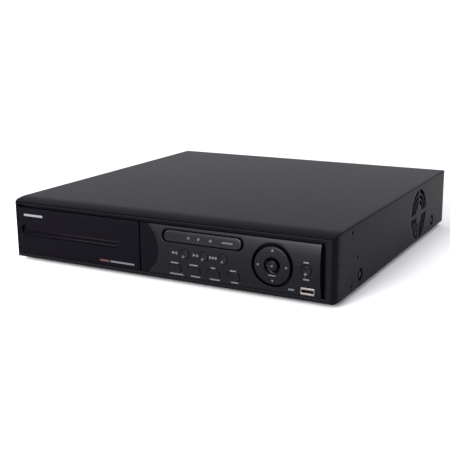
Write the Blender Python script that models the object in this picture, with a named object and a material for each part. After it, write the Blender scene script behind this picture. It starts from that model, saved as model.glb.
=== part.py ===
"""Hard-disk video recorder with a disc drive, as separate parts.

All lengths are millimetres until make() turns them into metres. Positions are local to the
recorder_frame empty: x = 0 on the centre line, y = 0 on the front plane with +y to the back,
z = 0 on the underside of the case. The feet stand below that.
"""

import math

import bmesh
import bpy
import numpy as np

MM = 0.001

# Overall case
BODY_W = 380.0
BODY_D = 372.0
BODY_H = 66.0
FOOT_H = 5.0

# Sheet metal and fits
SHEET = 1.0
GAP = 0.3
FIT = 0.4

# Top cover
ROLL_DROP = 3.0
ROLL_DEPTH = 20.0
COVER_BEND_R = 1.5
SIDE_TUCK = 2.6
TUCK_DEPTH = 6.4
COVER_SKIRT_Z = 0.3
DIMPLE_R = 6.3
DIMPLE_DEPTH = 1.6
SCREW_Z = 12.4
SCREW_R = 1.5
SCREW_LONG = 8.0
SCREW_HEAD_R = 3.0
SCREW_HEAD_H = 1.2
SCREW_CROSS = 3.2
SCREW_CROSS_W = 0.7
FRONT_SCREW_Y = 65.7
REAR_SCREW_FROM_BACK = 51.4
EAR_HOLE_R = 1.5
EAR_HOLES = ((40.9, 59.8), (56.0, 32.9), (39.8, 7.5))
INLET_SLOTS = 9
INLET_SLOT_PITCH = 7.0
INLET_SLOT_W = 3.0
INLET_SLOT_H = 26.0

# Rubber feet
FOOT_R = 10.0
FOOT_FROM_END = 34.0
FOOT_FROM_SIDE = 34.0

# Front bezel and the panels it carries
END_CAP_W = 5.0
BEZEL_EDGE = 0.6
END_STRIP_W = 10.0
DARK_GAP_W = 4.0
LIP_BOTTOM = 4.6
LIP_TOP = 2.0
GROOVE = 3.1
PANEL_RECESS = 0.3
PANEL_T = 4.0
WALL_Y = 5.6
WALL_T = 2.0
CONTROL_W = 199.0
SEAM = 1.6
CROWN = 3.7
CROWN_WALL = 2.4
STEP_X = 9.5
STEP_BOW = 12.5

# Controls, along the control panel from its left end; heights from its middle or an edge
WINDOW_X = 73.5
WINDOW_W = 89.5
WINDOW_H = 13.5
WINDOW_DROP = 9.7
WINDOW_GAP = 1.2
WINDOW_SUNK = 0.3
BUTTON_X = 54.4
BUTTON_PITCH = 21.7
BUTTON_R = 4.7
BUTTON_BELOW = 0.7
BUTTON_DISH = 1.1
KEY_X = 42.6
KEY_PITCH = 22.0
KEY_W = 14.0
KEY_H = 8.5
KEY_RISE = 8.9
KEY_PROUD = 0.7
RING_X = 150.4
RING_R = 18.75
RING_HOLE_R = 8.15
RING_GAP = 2.75
RING_PROUD = 0.2
ENTER_R = 5.2
ESCAPE_X = 185.1
ESCAPE_BELOW = 0.3
ESCAPE_R = 5.1
USB_X = 185.9
USB_RISE = 5.2
USB_W = 13.1
USB_H = 5.7
USB_LIP = 0.6
USB_WALL = 0.4
USB_DEPTH = 12.6
KEY_TRAVEL = 0.8
STEM_R = 2.2
STEM_END_Y = 10.5
CLIP_R = 3.6
CLIP_T = 0.9
BOARD_Y = 13.0
BOARD_T = 1.6
GIMBAL_R = 14.4
GIMBAL_HOLE_R = 9.0
GIMBAL_Y = 2.0
GIMBAL_T = 1.6
TRUNNION_R = 0.6
TRUNNION_LONG = 2.6
TRUNNION_PLAY = 0.25
POST_W = 2.4

# Disc drive behind the left panel
TRAY_INSET = 4.6
TRAY_FRONT_W = 128.4
TRAY_FRONT_H = 11.0
TRAY_ABOVE = 0.3
TRAY_FRONT_T = 3.4
TRAY_FRONT_R = 4.5
TRAY_FRONT_SCOOP = 2.4
DRIVE_W = 128.0
DRIVE_D = 127.0
DRIVE_H = 12.7
DRIVE_SHEET = 0.8
TRAY_W = 122.0
TRAY_T = 5.0
TRAY_LONG = 122.0
TRAY_FLOOR = 1.4
DISC_WELL_R = 60.1
DISC_WELL_DEPTH = 1.8
SPINDLE_R = 7.4

# Inside
FLANGE_H = 22.0
STANDOFF_H = 7.0
STANDOFF_R = 3.2
HDD_W = 101.6
HDD_D = 147.0
HDD_H = 26.1
HDD_Y = 26.0
HDD_Z = 8.0
HDD_FROM_SEAM = 12.0
RIBBON_X = 148.0
RIBBON_W = 22.0
BOARD_EDGE = 6.0
PROCESSOR_T = 2.0
SINK_W = 44.0
SINK_H = 18.0
SINK_SLOTS = 10
FAN_SIZE = 60.0
FAN_T = 15.0
FAN_FROM_BACK = 110.0
FAN_Z = 32.0
FAN_WALL = 1.4
FAN_BORE_R = FAN_SIZE / 2 - FAN_WALL
FAN_TIP_CLEAR = 0.8
FAN_HUB_R = FAN_SIZE / 4
FAN_BLADES = 7
VENT_HUB_R = 12.0
VENT_SLOT = 4.4
VENT_LAND = 1.9
VENT_SPOKE = 4.6

# Back connectors, x from the left side of the case
PORT_PROUD = 9.0
BNC_X = 150.0
BNC_PITCH = 22.0
BNC_COLUMNS = 4
BNC_ROWS = (21.0, 45.0)
BNC_R = 4.8
RCA_X = 252.0
RCA_PITCH = 17.0
RCA_ROWS = (22.0, 41.0)
RCA_R = 4.15
MONITOR_X = 303.0
MONITOR_Z = 44.0
NETWORK_Z = 22.0
TERMINAL_X = 333.0
TERMINAL_POLES = 8
TERMINAL_PITCH = 3.7
INLET_X = 44.0
INLET_Z = 32.0
INLET_W = 28.0
INLET_H = 20.0

# Places worked out from the sizes above
LEFT = -BODY_W / 2
RIGHT = BODY_W / 2
WALL_BACK = WALL_Y + WALL_T
BEZEL_TOP = BODY_H - ROLL_DROP - SHEET - GAP
PANEL_Z0 = LIP_BOTTOM + GAP
PANEL_Z1 = BEZEL_TOP - LIP_TOP - GROOVE
PANEL_MID = (PANEL_Z0 + PANEL_Z1) / 2
PANEL_HALF = (PANEL_Z1 - PANEL_Z0) / 2
FASCIA_X0 = LEFT + END_CAP_W + GAP
CONTROL_X1 = RIGHT - END_STRIP_W - DARK_GAP_W
CONTROL_X0 = CONTROL_X1 - CONTROL_W
FASCIA_X1 = CONTROL_X0 - SEAM
TRAY_X = FASCIA_X0 + TRAY_INSET + TRAY_FRONT_W / 2
TRAY_Z = PANEL_MID + TRAY_ABOVE
DRIVE_Y = WALL_BACK + GAP
DRIVE_Z = TRAY_Z - DRIVE_H / 2
RING_Z = PANEL_MID
BUTTON_Z = PANEL_MID - BUTTON_BELOW
KEY_Z = PANEL_Z0 + KEY_RISE
USB_Z = PANEL_Z0 + USB_RISE
WINDOW_Z = PANEL_Z1 - WINDOW_DROP
ESCAPE_Z = PANEL_MID - ESCAPE_BELOW
REAR_Y = BODY_D - 0.5
REAR_INSIDE = REAR_Y - SHEET
BEZEL_HALF = BODY_W / 2 - SIDE_TUCK - SHEET - GAP
HDD_X = (FASCIA_X1 - HDD_FROM_SEAM, FASCIA_X1 - HDD_FROM_SEAM + HDD_W)
POWER_BOARD = ((LEFT + 9, LEFT + 113), (BODY_D - 194, REAR_INSIDE - 2))
MAIN_BOARD = ((LEFT + 124, RIGHT - 30), (BODY_D - 172, REAR_INSIDE - 2))
FLANGE_X = RIGHT - SHEET - DIMPLE_DEPTH - GAP
BOARD_Z = SHEET + STANDOFF_H + GAP
FRONT_PROUD = CROWN - PANEL_RECESS + KEY_PROUD
FRAME_Y = (FRONT_PROUD - (REAR_Y + PORT_PROUD)) / 2


# ---------------------------------------------------------------- shapes
def loft(rings):
    """Closed solid through rings of the same number of points, with flat ends."""
    rings = np.asarray(rings, dtype=float)
    count, size = rings.shape[:2]
    verts = [tuple(p) for p in rings.reshape(-1, 3)]
    faces = [tuple(range(size))]
    for i in range(count - 1):
        for j in range(size):
            k = (j + 1) % size
            faces.append((i * size + j, i * size + k, (i + 1) * size + k, (i + 1) * size + j))
    faces.append(tuple(range((count - 1) * size, count * size)))
    return verts, faces


def slab(outer, inner):
    """Closed solid between two grids of points of the same shape, joined round their edges."""
    outer = np.asarray(outer, dtype=float)
    rows, cols = outer.shape[:2]
    verts = [tuple(p) for p in outer.reshape(-1, 3)]
    verts += [tuple(p) for p in np.asarray(inner, dtype=float).reshape(-1, 3)]
    far = rows * cols
    faces = []
    for i in range(rows - 1):
        for j in range(cols - 1):
            quad = (i * cols + j, i * cols + j + 1, (i + 1) * cols + j + 1, (i + 1) * cols + j)
            faces.append(quad)
            faces.append(tuple(far + q for q in reversed(quad)))
    rim = list(range(cols))
    rim += [i * cols + cols - 1 for i in range(1, rows)]
    rim += [(rows - 1) * cols + j for j in range(cols - 2, -1, -1)]
    rim += [i * cols for i in range(rows - 2, 0, -1)]
    for a, b in zip(rim, rim[1:] + rim[:1]):
        faces.append((b, a, far + a, far + b))
    return verts, faces


def at(axis, u, v, t):
    """Point with t along the axis and u, v along the other two, in x, y, z order."""
    return {"X": (t, u, v), "Y": (u, t, v), "Z": (u, v, t)}[axis]


def prism(axis, outline, lo, hi):
    """Outline extruded along an axis from lo to hi."""
    return loft([[at(axis, u, v, t) for u, v in outline] for t in (lo, hi)])


def box(x, y, z):
    """Block between pairs of coordinates."""
    return prism("Z", [(x[0], y[0]), (x[1], y[0]), (x[1], y[1]), (x[0], y[1])], *z)


def arc(centre, radius, start, end, steps):
    """Points on an arc, angles in degrees."""
    angles = np.radians(np.linspace(start, end, steps + 1))
    return [(centre[0] + radius * math.cos(a), centre[1] + radius * math.sin(a)) for a in angles]


def circle(centre, radius, steps=20):
    """Closed round outline."""
    return arc(centre, radius, 0, 360, steps)[:-1]


def rounded(centre, width, height, radius, steps=3):
    """Rectangle outline with round corners."""
    dx = width / 2 - radius
    dy = height / 2 - radius
    outline = []
    for sx, sy, start in ((1, 1, 0), (-1, 1, 90), (-1, -1, 180), (1, -1, 270)):
        corner = (centre[0] + sx * dx, centre[1] + sy * dy)
        outline += arc(corner, radius, start, start + 90, steps)
    return outline


def rod(axis, centre, radius, lo, hi, steps=20):
    """Cylinder along an axis."""
    return prism(axis, circle(centre, radius, steps), lo, hi)


def turned(axis, centre, profile, steps=20):
    """Turned solid: profile is (radius, place along the axis) from end to end."""
    return loft([[at(axis, u, v, t) for u, v in circle(centre, r, steps)] for r, t in profile])


def combine(*solids):
    """Several solids that don't meet, as one list of points and faces."""
    verts, faces = [], []
    for part_verts, part_faces in solids:
        start = len(verts)
        verts += part_verts
        faces += [tuple(start + i for i in face) for face in part_faces]
    return verts, faces


def folded(axis, path, thickness, lo, hi):
    """Sheet folded along a path of right-angle bends, extruded along an axis."""
    pts = np.asarray(path, dtype=float)
    steps = np.diff(pts, axis=0)
    steps /= np.linalg.norm(steps, axis=1)[:, None]
    sides = np.stack([-steps[:, 1], steps[:, 0]], axis=1)
    left, right = [], []
    for i, p in enumerate(pts):
        near = sides[max(i - 1, 0)]
        ahead = sides[min(i, len(sides) - 1)]
        mitre = (near + ahead) / (1 + near @ ahead) * thickness / 2
        left.append(tuple(p + mitre))
        right.append(tuple(p - mitre))
    return prism(axis, left + right[::-1], lo, hi)


# ---------------------------------------------------------------- objects
def finish(name, rgb, roughness, metallic=0.0):
    """Plain material of one colour."""
    material = bpy.data.materials.new(name)
    material.use_nodes = True
    shader = material.node_tree.nodes["Principled BSDF"]
    shader.inputs["Base Color"].default_value = (*rgb, 1)
    shader.inputs["Roughness"].default_value = roughness
    shader.inputs["Metallic"].default_value = metallic
    return material


def make(name, solid, material=None, origin=(0, 0, 0), smooth=False):
    """Object from a solid, with its own origin, held by the recorder's frame."""
    verts = [tuple((c - o) * MM for c, o in zip(v, origin)) for v in solid[0]]
    mesh = bpy.data.meshes.new(name)
    mesh.from_pydata(verts, [], solid[1])
    bm = bmesh.new()
    bm.from_mesh(mesh)
    bmesh.ops.recalc_face_normals(bm, faces=bm.faces)
    bm.to_mesh(mesh)
    bm.free()
    if smooth:
        mesh.shade_smooth()
        mesh.set_sharp_from_angle(angle=math.radians(35))
    obj = bpy.data.objects.new(name, mesh)
    bpy.context.scene.collection.objects.link(obj)
    obj.parent = FRAME
    obj.location = [o * MM for o in origin]
    if material:
        mesh.materials.append(material)
    return obj


def carve(obj, solid, operation="DIFFERENCE"):
    """Cut a solid out of an object, or join or intersect it, with an EXACT Boolean."""
    tool = make(obj.name + "_tool", solid)
    tool.hide_render = True
    tool.display_type = "WIRE"
    modifier = obj.modifiers.new(operation.lower(), "BOOLEAN")
    modifier.operation = operation
    modifier.object = tool
    modifier.solver = "EXACT"
    return obj


def join(obj, solid):
    """Boolean union of a solid into an object."""
    return carve(obj, solid, "UNION")


for old in list(bpy.data.objects):
    bpy.data.objects.remove(old)

FRAME = bpy.data.objects.new("recorder_frame", None)
FRAME.location = (0, FRAME_Y * MM, FOOT_H * MM)
bpy.context.scene.collection.objects.link(FRAME)

PAINT = finish("grey_powder_coat", (0.075, 0.08, 0.09), 0.45)
ZINC = finish("zinc_plated_steel", (0.55, 0.56, 0.57), 0.4, 1.0)
BLACK_PLASTIC = finish("black_moulded_abs", (0.012, 0.012, 0.015), 0.35)
GLOSS_BLACK = finish("black_gloss_acrylic", (0.012, 0.012, 0.016), 0.12)
PANEL_PAINT = finish("graphite_lacquer", (0.05, 0.05, 0.06), 0.3)
SMOKED = finish("smoked_acrylic", (0.03, 0.03, 0.04), 0.1)
RUBBER = finish("black_rubber", (0.015, 0.015, 0.015), 0.8)
BOARD_GREEN = finish("green_circuit_board", (0.01, 0.09, 0.03), 0.4)
NICKEL = finish("nickel_plating", (0.7, 0.68, 0.65), 0.25, 1.0)
ALUMINIUM = finish("black_anodised_aluminium", (0.03, 0.03, 0.03), 0.4, 0.8)
CASTING = finish("cast_aluminium", (0.6, 0.6, 0.6), 0.45, 1.0)
TERMINAL_GREEN = finish("green_nylon", (0.02, 0.2, 0.05), 0.4)
WHITE_PLASTIC = finish("white_nylon", (0.75, 0.75, 0.72), 0.4)
GREY_CABLE = finish("grey_pvc", (0.3, 0.3, 0.32), 0.5)


# ---------------------------------------------------------------- case
def roll(y):
    """How far the top plate has dropped at a distance from the front."""
    return ROLL_DROP * max(0.0, 1 - y / ROLL_DEPTH) ** 2


def tuck(y):
    """How far each side has come in at a distance from the front."""
    return SIDE_TUCK * max(0.0, 1 - y / TUCK_DEPTH) ** 2


def cover_path(inset):
    """Section of the cover, up the left side, over the top and down the right."""
    half = BODY_W / 2 - inset
    top = BODY_H - inset
    radius = COVER_BEND_R - inset if COVER_BEND_R > inset else 0.2
    left_z = np.linspace(COVER_SKIRT_Z, top - radius, 4)
    path = [(-half, z) for z in left_z[:-1]]
    path += arc((-half + radius, top - radius), radius, 180, 90, 3)
    path += arc((half - radius, top - radius), radius, 90, 0, 3)
    path += [(half, z) for z in left_z[-2::-1]]
    return path


def cover_grid(inset):
    """Grid of the cover's surface: rows run from front to back."""
    stations = list(TUCK_DEPTH * np.linspace(0, 1, 5)) + list(np.linspace(TUCK_DEPTH, ROLL_DEPTH, 5)[1:])
    rows = []
    for station in stations + [BODY_D]:
        narrow = 1 - tuck(station) / RIGHT
        drop = roll(station)
        rows.append([(x * narrow, station, z - drop * (z / BODY_H) ** 4) for x, z in cover_path(inset)])
    return rows


def vent_slots(x0, x1):
    """Curved fan slots: rings of four quadrants each, between solid spokes."""
    centre = (BODY_D - FAN_FROM_BACK, FAN_Z)
    solids = []
    inner = VENT_HUB_R
    while inner + VENT_SLOT < FAN_SIZE / 2 + 1:
        outer = inner + VENT_SLOT
        for quadrant in range(4):
            start = 90 * quadrant
            near = math.degrees(math.asin(VENT_SPOKE / 2 / outer))
            far = math.degrees(math.asin(VENT_SPOKE / 2 / inner))
            outline = arc(centre, outer, start + near, start + 90 - near, 5)
            outline += arc(centre, inner, start + 90 - far, start + far, 5)
            solids.append(prism("X", outline, x0, x1))
        inner = outer + VENT_LAND
    return solids


def screw_places():
    """Side, y and z of the four cover screws."""
    return [(side, y) for side in (-1, 1) for y in (FRONT_SCREW_Y, BODY_D - REAR_SCREW_FROM_BACK)]


def side_span(side, near, far):
    """Ordered x pair on one side, measured inwards from the case's face."""
    a = side * (BODY_W / 2 - near)
    b = side * (BODY_W / 2 - far)
    return min(a, b), max(a, b)


def build_cover():
    """Painted steel cover: the top and both sides in one folded sheet."""
    cover = make("top_cover", slab(cover_grid(0), cover_grid(SHEET)), PAINT)
    cups, pockets, holes = [], [], []
    for side, y in screw_places():
        cups.append(rod("X", (y, SCREW_Z), DIMPLE_R + SHEET, *side_span(side, 0.4, DIMPLE_DEPTH + SHEET)))
        pockets.append(rod("X", (y, SCREW_Z), DIMPLE_R, *side_span(side, -1, DIMPLE_DEPTH)))
        holes.append(rod("X", (y, SCREW_Z), SCREW_R + FIT, *side_span(side, 1, 5), 12))
    for side in (-1, 1):
        for y, z in EAR_HOLES:
            holes.append(rod("X", (y, z), EAR_HOLE_R, *side_span(side, -1, 2), 8))
    join(cover, combine(*cups))
    carve(cover, combine(*pockets))
    carve(cover, combine(*holes, *vent_slots(RIGHT - 2, RIGHT + 1)))
    inlets = []
    for i in range(INLET_SLOTS):
        y = BODY_D - FAN_FROM_BACK + (i - (INLET_SLOTS - 1) / 2) * INLET_SLOT_PITCH
        outline = rounded((y, FAN_Z), INLET_SLOT_W, INLET_SLOT_H, 1.4, 1)
        inlets.append(prism("X", outline, LEFT - 1, LEFT + 2))
    carve(cover, combine(*inlets))


def build_chassis():
    """Zinc-plated tray with low side flanges, board standoffs and screw holes."""
    y0 = WALL_BACK + GAP
    y1 = REAR_INSIDE - GAP
    pan = make("chassis_pan", box((-FLANGE_X, FLANGE_X), (y0, y1), (0, FLANGE_H)), ZINC)
    inside = (-FLANGE_X + SHEET, FLANGE_X - SHEET)
    carve(pan, box(inside, (y0 + SHEET, y1 - SHEET), (SHEET, FLANGE_H + 1)))
    front_gap = box(inside, (y0 - 1, y0 + 2 * SHEET), (LIP_BOTTOM - SHEET, FLANGE_H + 1))
    back_gap = box(inside, (y1 - 2 * SHEET, y1 + 1), (LIP_BOTTOM - SHEET, FLANGE_H + 1))
    carve(pan, combine(front_gap, back_gap))
    posts = [rod("Z", place, STANDOFF_R, 0.5, SHEET + STANDOFF_H, 8) for place in standoff_places()]
    join(pan, combine(*posts))
    holes = []
    for side, y in screw_places():
        ends = side_span(side, RIGHT - FLANGE_X - 1, RIGHT - FLANGE_X + SHEET + 1)
        holes.append(rod("X", (y, SCREW_Z), SCREW_R + GAP, *ends, 10))
    carve(pan, combine(*holes))


def standoff_places():
    """Under the corners of the main board and the power supply board."""
    places = []
    for board in (MAIN_BOARD, POWER_BOARD):
        for x in (board[0][0] + BOARD_EDGE, board[0][1] - BOARD_EDGE):
            for y in (board[1][0] + BOARD_EDGE, board[1][1] - BOARD_EDGE):
                places.append((x, y))
    return places


def build_feet_and_screws():
    """Four turned rubber feet and the four cover screws."""
    for y, end in ((FOOT_FROM_END, "front"), (BODY_D - FOOT_FROM_END, "rear")):
        for side, hand in ((-1, "left"), (1, "right")):
            centre = (side * (BODY_W / 2 - FOOT_FROM_SIDE), y)
            profile = [(FOOT_R - 1.5, -FOOT_H), (FOOT_R - 0.6, -FOOT_H + 0.5), (FOOT_R, -GAP)]
            make("foot_%s_%s" % (end, hand), turned("Z", centre, profile, 20), RUBBER, smooth=True)
    for side, y in screw_places():
        end = "front" if y == FRONT_SCREW_Y else "rear"
        hand = "left" if side < 0 else "right"
        near = DIMPLE_DEPTH - GAP
        head = near - SCREW_HEAD_H
        profile = [(SCREW_HEAD_R * 0.75, head), (SCREW_HEAD_R, head + 0.4), (SCREW_HEAD_R, near),
                   (SCREW_R, near), (SCREW_R, near + SCREW_LONG - 1), (SCREW_R * 0.6, near + SCREW_LONG)]
        profile = [(r, side * (BODY_W / 2 - t)) for r, t in profile]
        screw = make("cover_screw_%s_%s" % (end, hand), turned("X", (y, SCREW_Z), profile, 16), ZINC,
                     smooth=True)
        tip = side_span(side, head - 1, head + 0.7)
        carve(screw, prism("X", rounded((y, SCREW_Z), SCREW_CROSS, SCREW_CROSS_W, 0.1, 1), *tip))
        carve(screw, prism("X", rounded((y, SCREW_Z), SCREW_CROSS_W, SCREW_CROSS, 0.1, 1), *tip))


# ---------------------------------------------------------------- front
def crown_y(z, offset=0.0):
    """Front face of the crowned control panel, moved out by offset."""
    share = (z - PANEL_MID) / PANEL_HALF
    return PANEL_RECESS - offset - CROWN * (1 - share ** 2)


def crown_body(z0, z1, x0, x1, back, offset=0.0, bow=0.0, rings=11):
    """Solid with a crowned front; its left end bows inwards at mid-height."""
    sections = []
    for z in np.linspace(z0, z1, rings):
        left = x0 + bow * (1 - ((z - PANEL_MID) / PANEL_HALF) ** 2)
        front = crown_y(z, offset)
        sections.append([(left, front, z), (x1, front, z), (x1, back, z), (left, back, z)])
    return loft(sections)


def build_bezel():
    """Moulded front frame: lips, end caps and the wall behind the two panels."""
    flat = BEZEL_HALF - BEZEL_EDGE
    outline = [(-BEZEL_HALF, WALL_BACK), (-BEZEL_HALF, BEZEL_EDGE), (-flat, 0),
               (flat, 0), (BEZEL_HALF, BEZEL_EDGE), (BEZEL_HALF, WALL_BACK)]
    bezel = make("front_bezel", prism("Z", outline, COVER_SKIRT_Z, BEZEL_TOP), BLACK_PLASTIC)
    pocket_z = (LIP_BOTTOM, BEZEL_TOP - LIP_TOP)
    carve(bezel, box((LEFT + END_CAP_W, RIGHT - END_STRIP_W), (-1, WALL_Y), pocket_z))
    span = (WALL_Y - 1, WALL_BACK + 1)
    cuts = [prism("Y", rounded((TRAY_X, TRAY_Z), TRAY_FRONT_W - 2, TRAY_FRONT_H + 0.4, 0.5, 2), *span)]
    cuts += [rod("Y", (x, z), STEM_R + FIT, *span, 12) for x, z, _ in round_places() + key_places()]
    window = rounded((CONTROL_X0 + WINDOW_X, WINDOW_Z), WINDOW_W - 12, WINDOW_H - 7, 3, 3)
    cuts.append(prism("Y", window, *span))
    usb = rounded((CONTROL_X0 + USB_X, USB_Z), USB_W + 2 * FIT, USB_H + 2 * FIT, 1, 3)
    cuts.append(prism("Y", usb, *span))
    carve(bezel, combine(*cuts))
    x = CONTROL_X0 + RING_X
    posts, bores = [], []
    for side in (-1, 1):
        centre = x + side * (GIMBAL_R + TRUNNION_LONG / 2 + GAP)
        posts.append(box((centre - 1.2, centre + 1.2), (GIMBAL_Y, WALL_Y + 0.5),
                         (RING_Z - POST_W / 2, RING_Z + POST_W / 2)))
        axle = (GIMBAL_Y + GIMBAL_T / 2, RING_Z)
        bores.append(rod("X", axle, TRUNNION_R + TRUNNION_PLAY, centre - 2, centre + 2, 8))
    join(bezel, combine(*posts))
    carve(bezel, combine(*bores))


def build_fascia():
    """Glossy left panel with the disc tray's opening."""
    fascia = make("drive_fascia", box((FASCIA_X0, FASCIA_X1), (PANEL_RECESS, PANEL_RECESS + PANEL_T),
                                      (PANEL_Z0, PANEL_Z1)), GLOSS_BLACK)
    opening = rounded((TRAY_X, TRAY_Z), TRAY_FRONT_W + 2 * FIT, TRAY_FRONT_H + 2 * FIT, TRAY_FRONT_R)
    carve(fascia, prism("Y", opening, -1, PANEL_T + 2))


def round_places():
    """x, z and radius of the five round push buttons."""
    places = [(CONTROL_X0 + BUTTON_X + i * BUTTON_PITCH, BUTTON_Z, BUTTON_R) for i in range(3)]
    places.append((CONTROL_X0 + ESCAPE_X, ESCAPE_Z, ESCAPE_R))
    places.append((CONTROL_X0 + RING_X, RING_Z, ENTER_R))
    return places


def key_places():
    """x, z and width of the four oval keys."""
    return [(CONTROL_X0 + KEY_X + i * KEY_PITCH, KEY_Z, KEY_W) for i in range(4)]


def build_control_panel():
    """Crowned panel with a curved step at its left, its openings and a hollow back."""
    back = PANEL_RECESS + PANEL_T
    panel = make("control_panel", box((CONTROL_X0, CONTROL_X1 - 2), (PANEL_RECESS, back),
                                      (PANEL_Z0, PANEL_Z1)), PANEL_PAINT)
    join(panel, crown_body(PANEL_Z0, PANEL_Z1, CONTROL_X0 + STEP_X, CONTROL_X1, back, bow=STEP_BOW))
    hollow = crown_body(PANEL_Z0 + CROWN_WALL, PANEL_Z1 - CROWN_WALL, CONTROL_X0 + STEP_X + CROWN_WALL,
                        CONTROL_X1 - CROWN_WALL, back + 1, -CROWN_WALL, STEP_BOW)
    carve(panel, hollow)
    span = (-CROWN - 2, back + 2)
    cuts = [rod("Y", (x, z), r + FIT, *span) for x, z, r in round_places()[:4]]
    cuts += [prism("Y", rounded((x, z), w + 2 * FIT, KEY_H + 2 * FIT, KEY_H / 2 + FIT - 0.01), *span)
             for x, z, w in key_places()]
    cuts.append(rod("Y", (CONTROL_X0 + RING_X, RING_Z), RING_R + RING_GAP, *span, 36))
    window = rounded((CONTROL_X0 + WINDOW_X, WINDOW_Z), WINDOW_W, WINDOW_H, WINDOW_H / 2 - 0.01, 5)
    cuts.append(prism("Y", window, *span))
    room = 2 * USB_LIP + 2 * FIT
    usb = rounded((CONTROL_X0 + USB_X, USB_Z), USB_W + room, USB_H + room, 1, 3)
    cuts.append(prism("Y", usb, *span))
    carve(panel, combine(*cuts))


def build_window():
    """Smoked window in a stadium opening; its face follows the crown, set back a little."""
    outline = rounded((CONTROL_X0 + WINDOW_X, WINDOW_Z), WINDOW_W - 2 * WINDOW_GAP,
                      WINDOW_H - 2 * WINDOW_GAP, WINDOW_H / 2 - WINDOW_GAP - 0.01, 5)
    window = make("indicator_window", prism("Y", outline, -CROWN - 2, WALL_Y - GAP), SMOKED)
    wide = (CONTROL_X0, CONTROL_X1)
    carve(window, crown_body(PANEL_Z0, PANEL_Z1, *wide, WALL_Y, -WINDOW_SUNK), "INTERSECT")


def stem(x, z, cap_back):
    """Round stem with a snap-in clip behind the bezel's wall."""
    clip = WALL_BACK + GAP
    profile = [(STEM_R, cap_back), (STEM_R, clip), (CLIP_R, clip), (STEM_R, clip + CLIP_T),
               (STEM_R, STEM_END_Y)]
    return turned("Y", (x, z), profile, 10)


def build_buttons():
    """Dished round buttons, the enter button and the oval keys, each on a stem."""
    cap_back = WALL_Y - KEY_TRAVEL - GAP
    names = ("rewind_button", "play_button", "forward_button", "escape_button", "enter_button")
    for name, (x, z, r) in zip(names, round_places()):
        face = crown_y(z) - KEY_PROUD
        dish = 0.0 if name == "enter_button" else BUTTON_DISH
        profile = [(r * share, face + dish * (1 - share ** 2)) for share in (0.35, 0.65, 0.88)]
        profile += [(r, face + 0.6), (r, cap_back)]
        button = make(name, turned("Y", (x, z), profile, 20), GLOSS_BLACK, (x, face, z), smooth=True)
        join(button, stem(x, z, cap_back - 0.5))
    wide = (CONTROL_X0, CONTROL_X1)
    for i, (x, z, w) in enumerate(key_places()):
        outline = rounded((x, z), w, KEY_H, KEY_H / 2 - 0.01)
        key = make("function_key_%d" % (i + 1), prism("Y", outline, -CROWN - 2, cap_back), BLACK_PLASTIC,
                   (x, crown_y(z), z), smooth=True)
        carve(key, crown_body(PANEL_Z0, PANEL_Z1, *wide, WALL_Y, KEY_PROUD), "INTERSECT")
        join(key, stem(x, z, cap_back - 0.5))


def build_navigation():
    """Navigation ring on a two-axis gimbal behind it."""
    x = CONTROL_X0 + RING_X
    pivot = (x, GIMBAL_Y + GIMBAL_T / 2, RING_Z)
    ring_back = GIMBAL_Y - 0.8
    ring = make("navigation_ring", rod("Y", (x, RING_Z), RING_R, -CROWN - 2, ring_back, 32), PANEL_PAINT,
                pivot, smooth=True)
    carve(ring, crown_body(PANEL_Z0, PANEL_Z1, CONTROL_X0, CONTROL_X1, WALL_Y, RING_PROUD), "INTERSECT")
    carve(ring, rod("Y", (x, RING_Z), RING_HOLE_R, -CROWN - 3, WALL_Y))
    posts, bores = [], []
    for side in (-1, 1):
        centre = RING_Z + side * (GIMBAL_R + TRUNNION_LONG / 2 + GAP)
        posts.append(box((x - POST_W / 2, x + POST_W / 2), (ring_back - 0.5, GIMBAL_Y + GIMBAL_T),
                         (centre - 1.2, centre + 1.2)))
        bores.append(rod("Z", (x, pivot[1]), TRUNNION_R + TRUNNION_PLAY, centre - 2, centre + 2, 8))
    join(ring, combine(*posts))
    carve(ring, combine(*bores))
    gimbal = make("navigation_gimbal", rod("Y", (x, RING_Z), GIMBAL_R, GIMBAL_Y, GIMBAL_Y + GIMBAL_T),
                  WHITE_PLASTIC, pivot, smooth=True)
    carve(gimbal, rod("Y", (x, RING_Z), GIMBAL_HOLE_R, GIMBAL_Y - 1, GIMBAL_Y + GIMBAL_T + 1))
    reach = GIMBAL_R + TRUNNION_LONG
    pins = [rod("X", (pivot[1], RING_Z), TRUNNION_R, x + side * (GIMBAL_R - 1), x + side * reach, 8)
            for side in (-1, 1)]
    pins += [rod("Z", (x, pivot[1]), TRUNNION_R, RING_Z + side * (GIMBAL_R - 1), RING_Z + side * reach, 8)
             for side in (-1, 1)]
    join(gimbal, combine(*pins))


def build_usb():
    """Metal socket shell with flared lips, and the tongue inside it."""
    x = CONTROL_X0 + USB_X
    front = crown_y(USB_Z) - 0.3
    back = BOARD_Y - GAP
    shell = make("usb_shell", prism("Y", rounded((x, USB_Z), USB_W, USB_H, 0.5, 2), front, back), NICKEL)
    lips = rounded((x, USB_Z), USB_W + 2 * USB_LIP, USB_H + 2 * USB_LIP, 0.6, 2)
    join(shell, prism("Y", lips, front - 0.2, front + 0.5))
    mouth = rounded((x, USB_Z), USB_W - 2 * USB_WALL, USB_H - 2 * USB_WALL, 0.3, 2)
    carve(shell, prism("Y", mouth, front - 1, front + USB_DEPTH - 2))
    inside = (x - USB_W / 2 + USB_WALL + 0.8, x + USB_W / 2 - USB_WALL - 0.8)
    make("usb_tongue", box(inside, (front + 1.2, front + USB_DEPTH - 2 - GAP), (USB_Z + 0.2, USB_Z + 2.0)),
         WHITE_PLASTIC)


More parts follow.
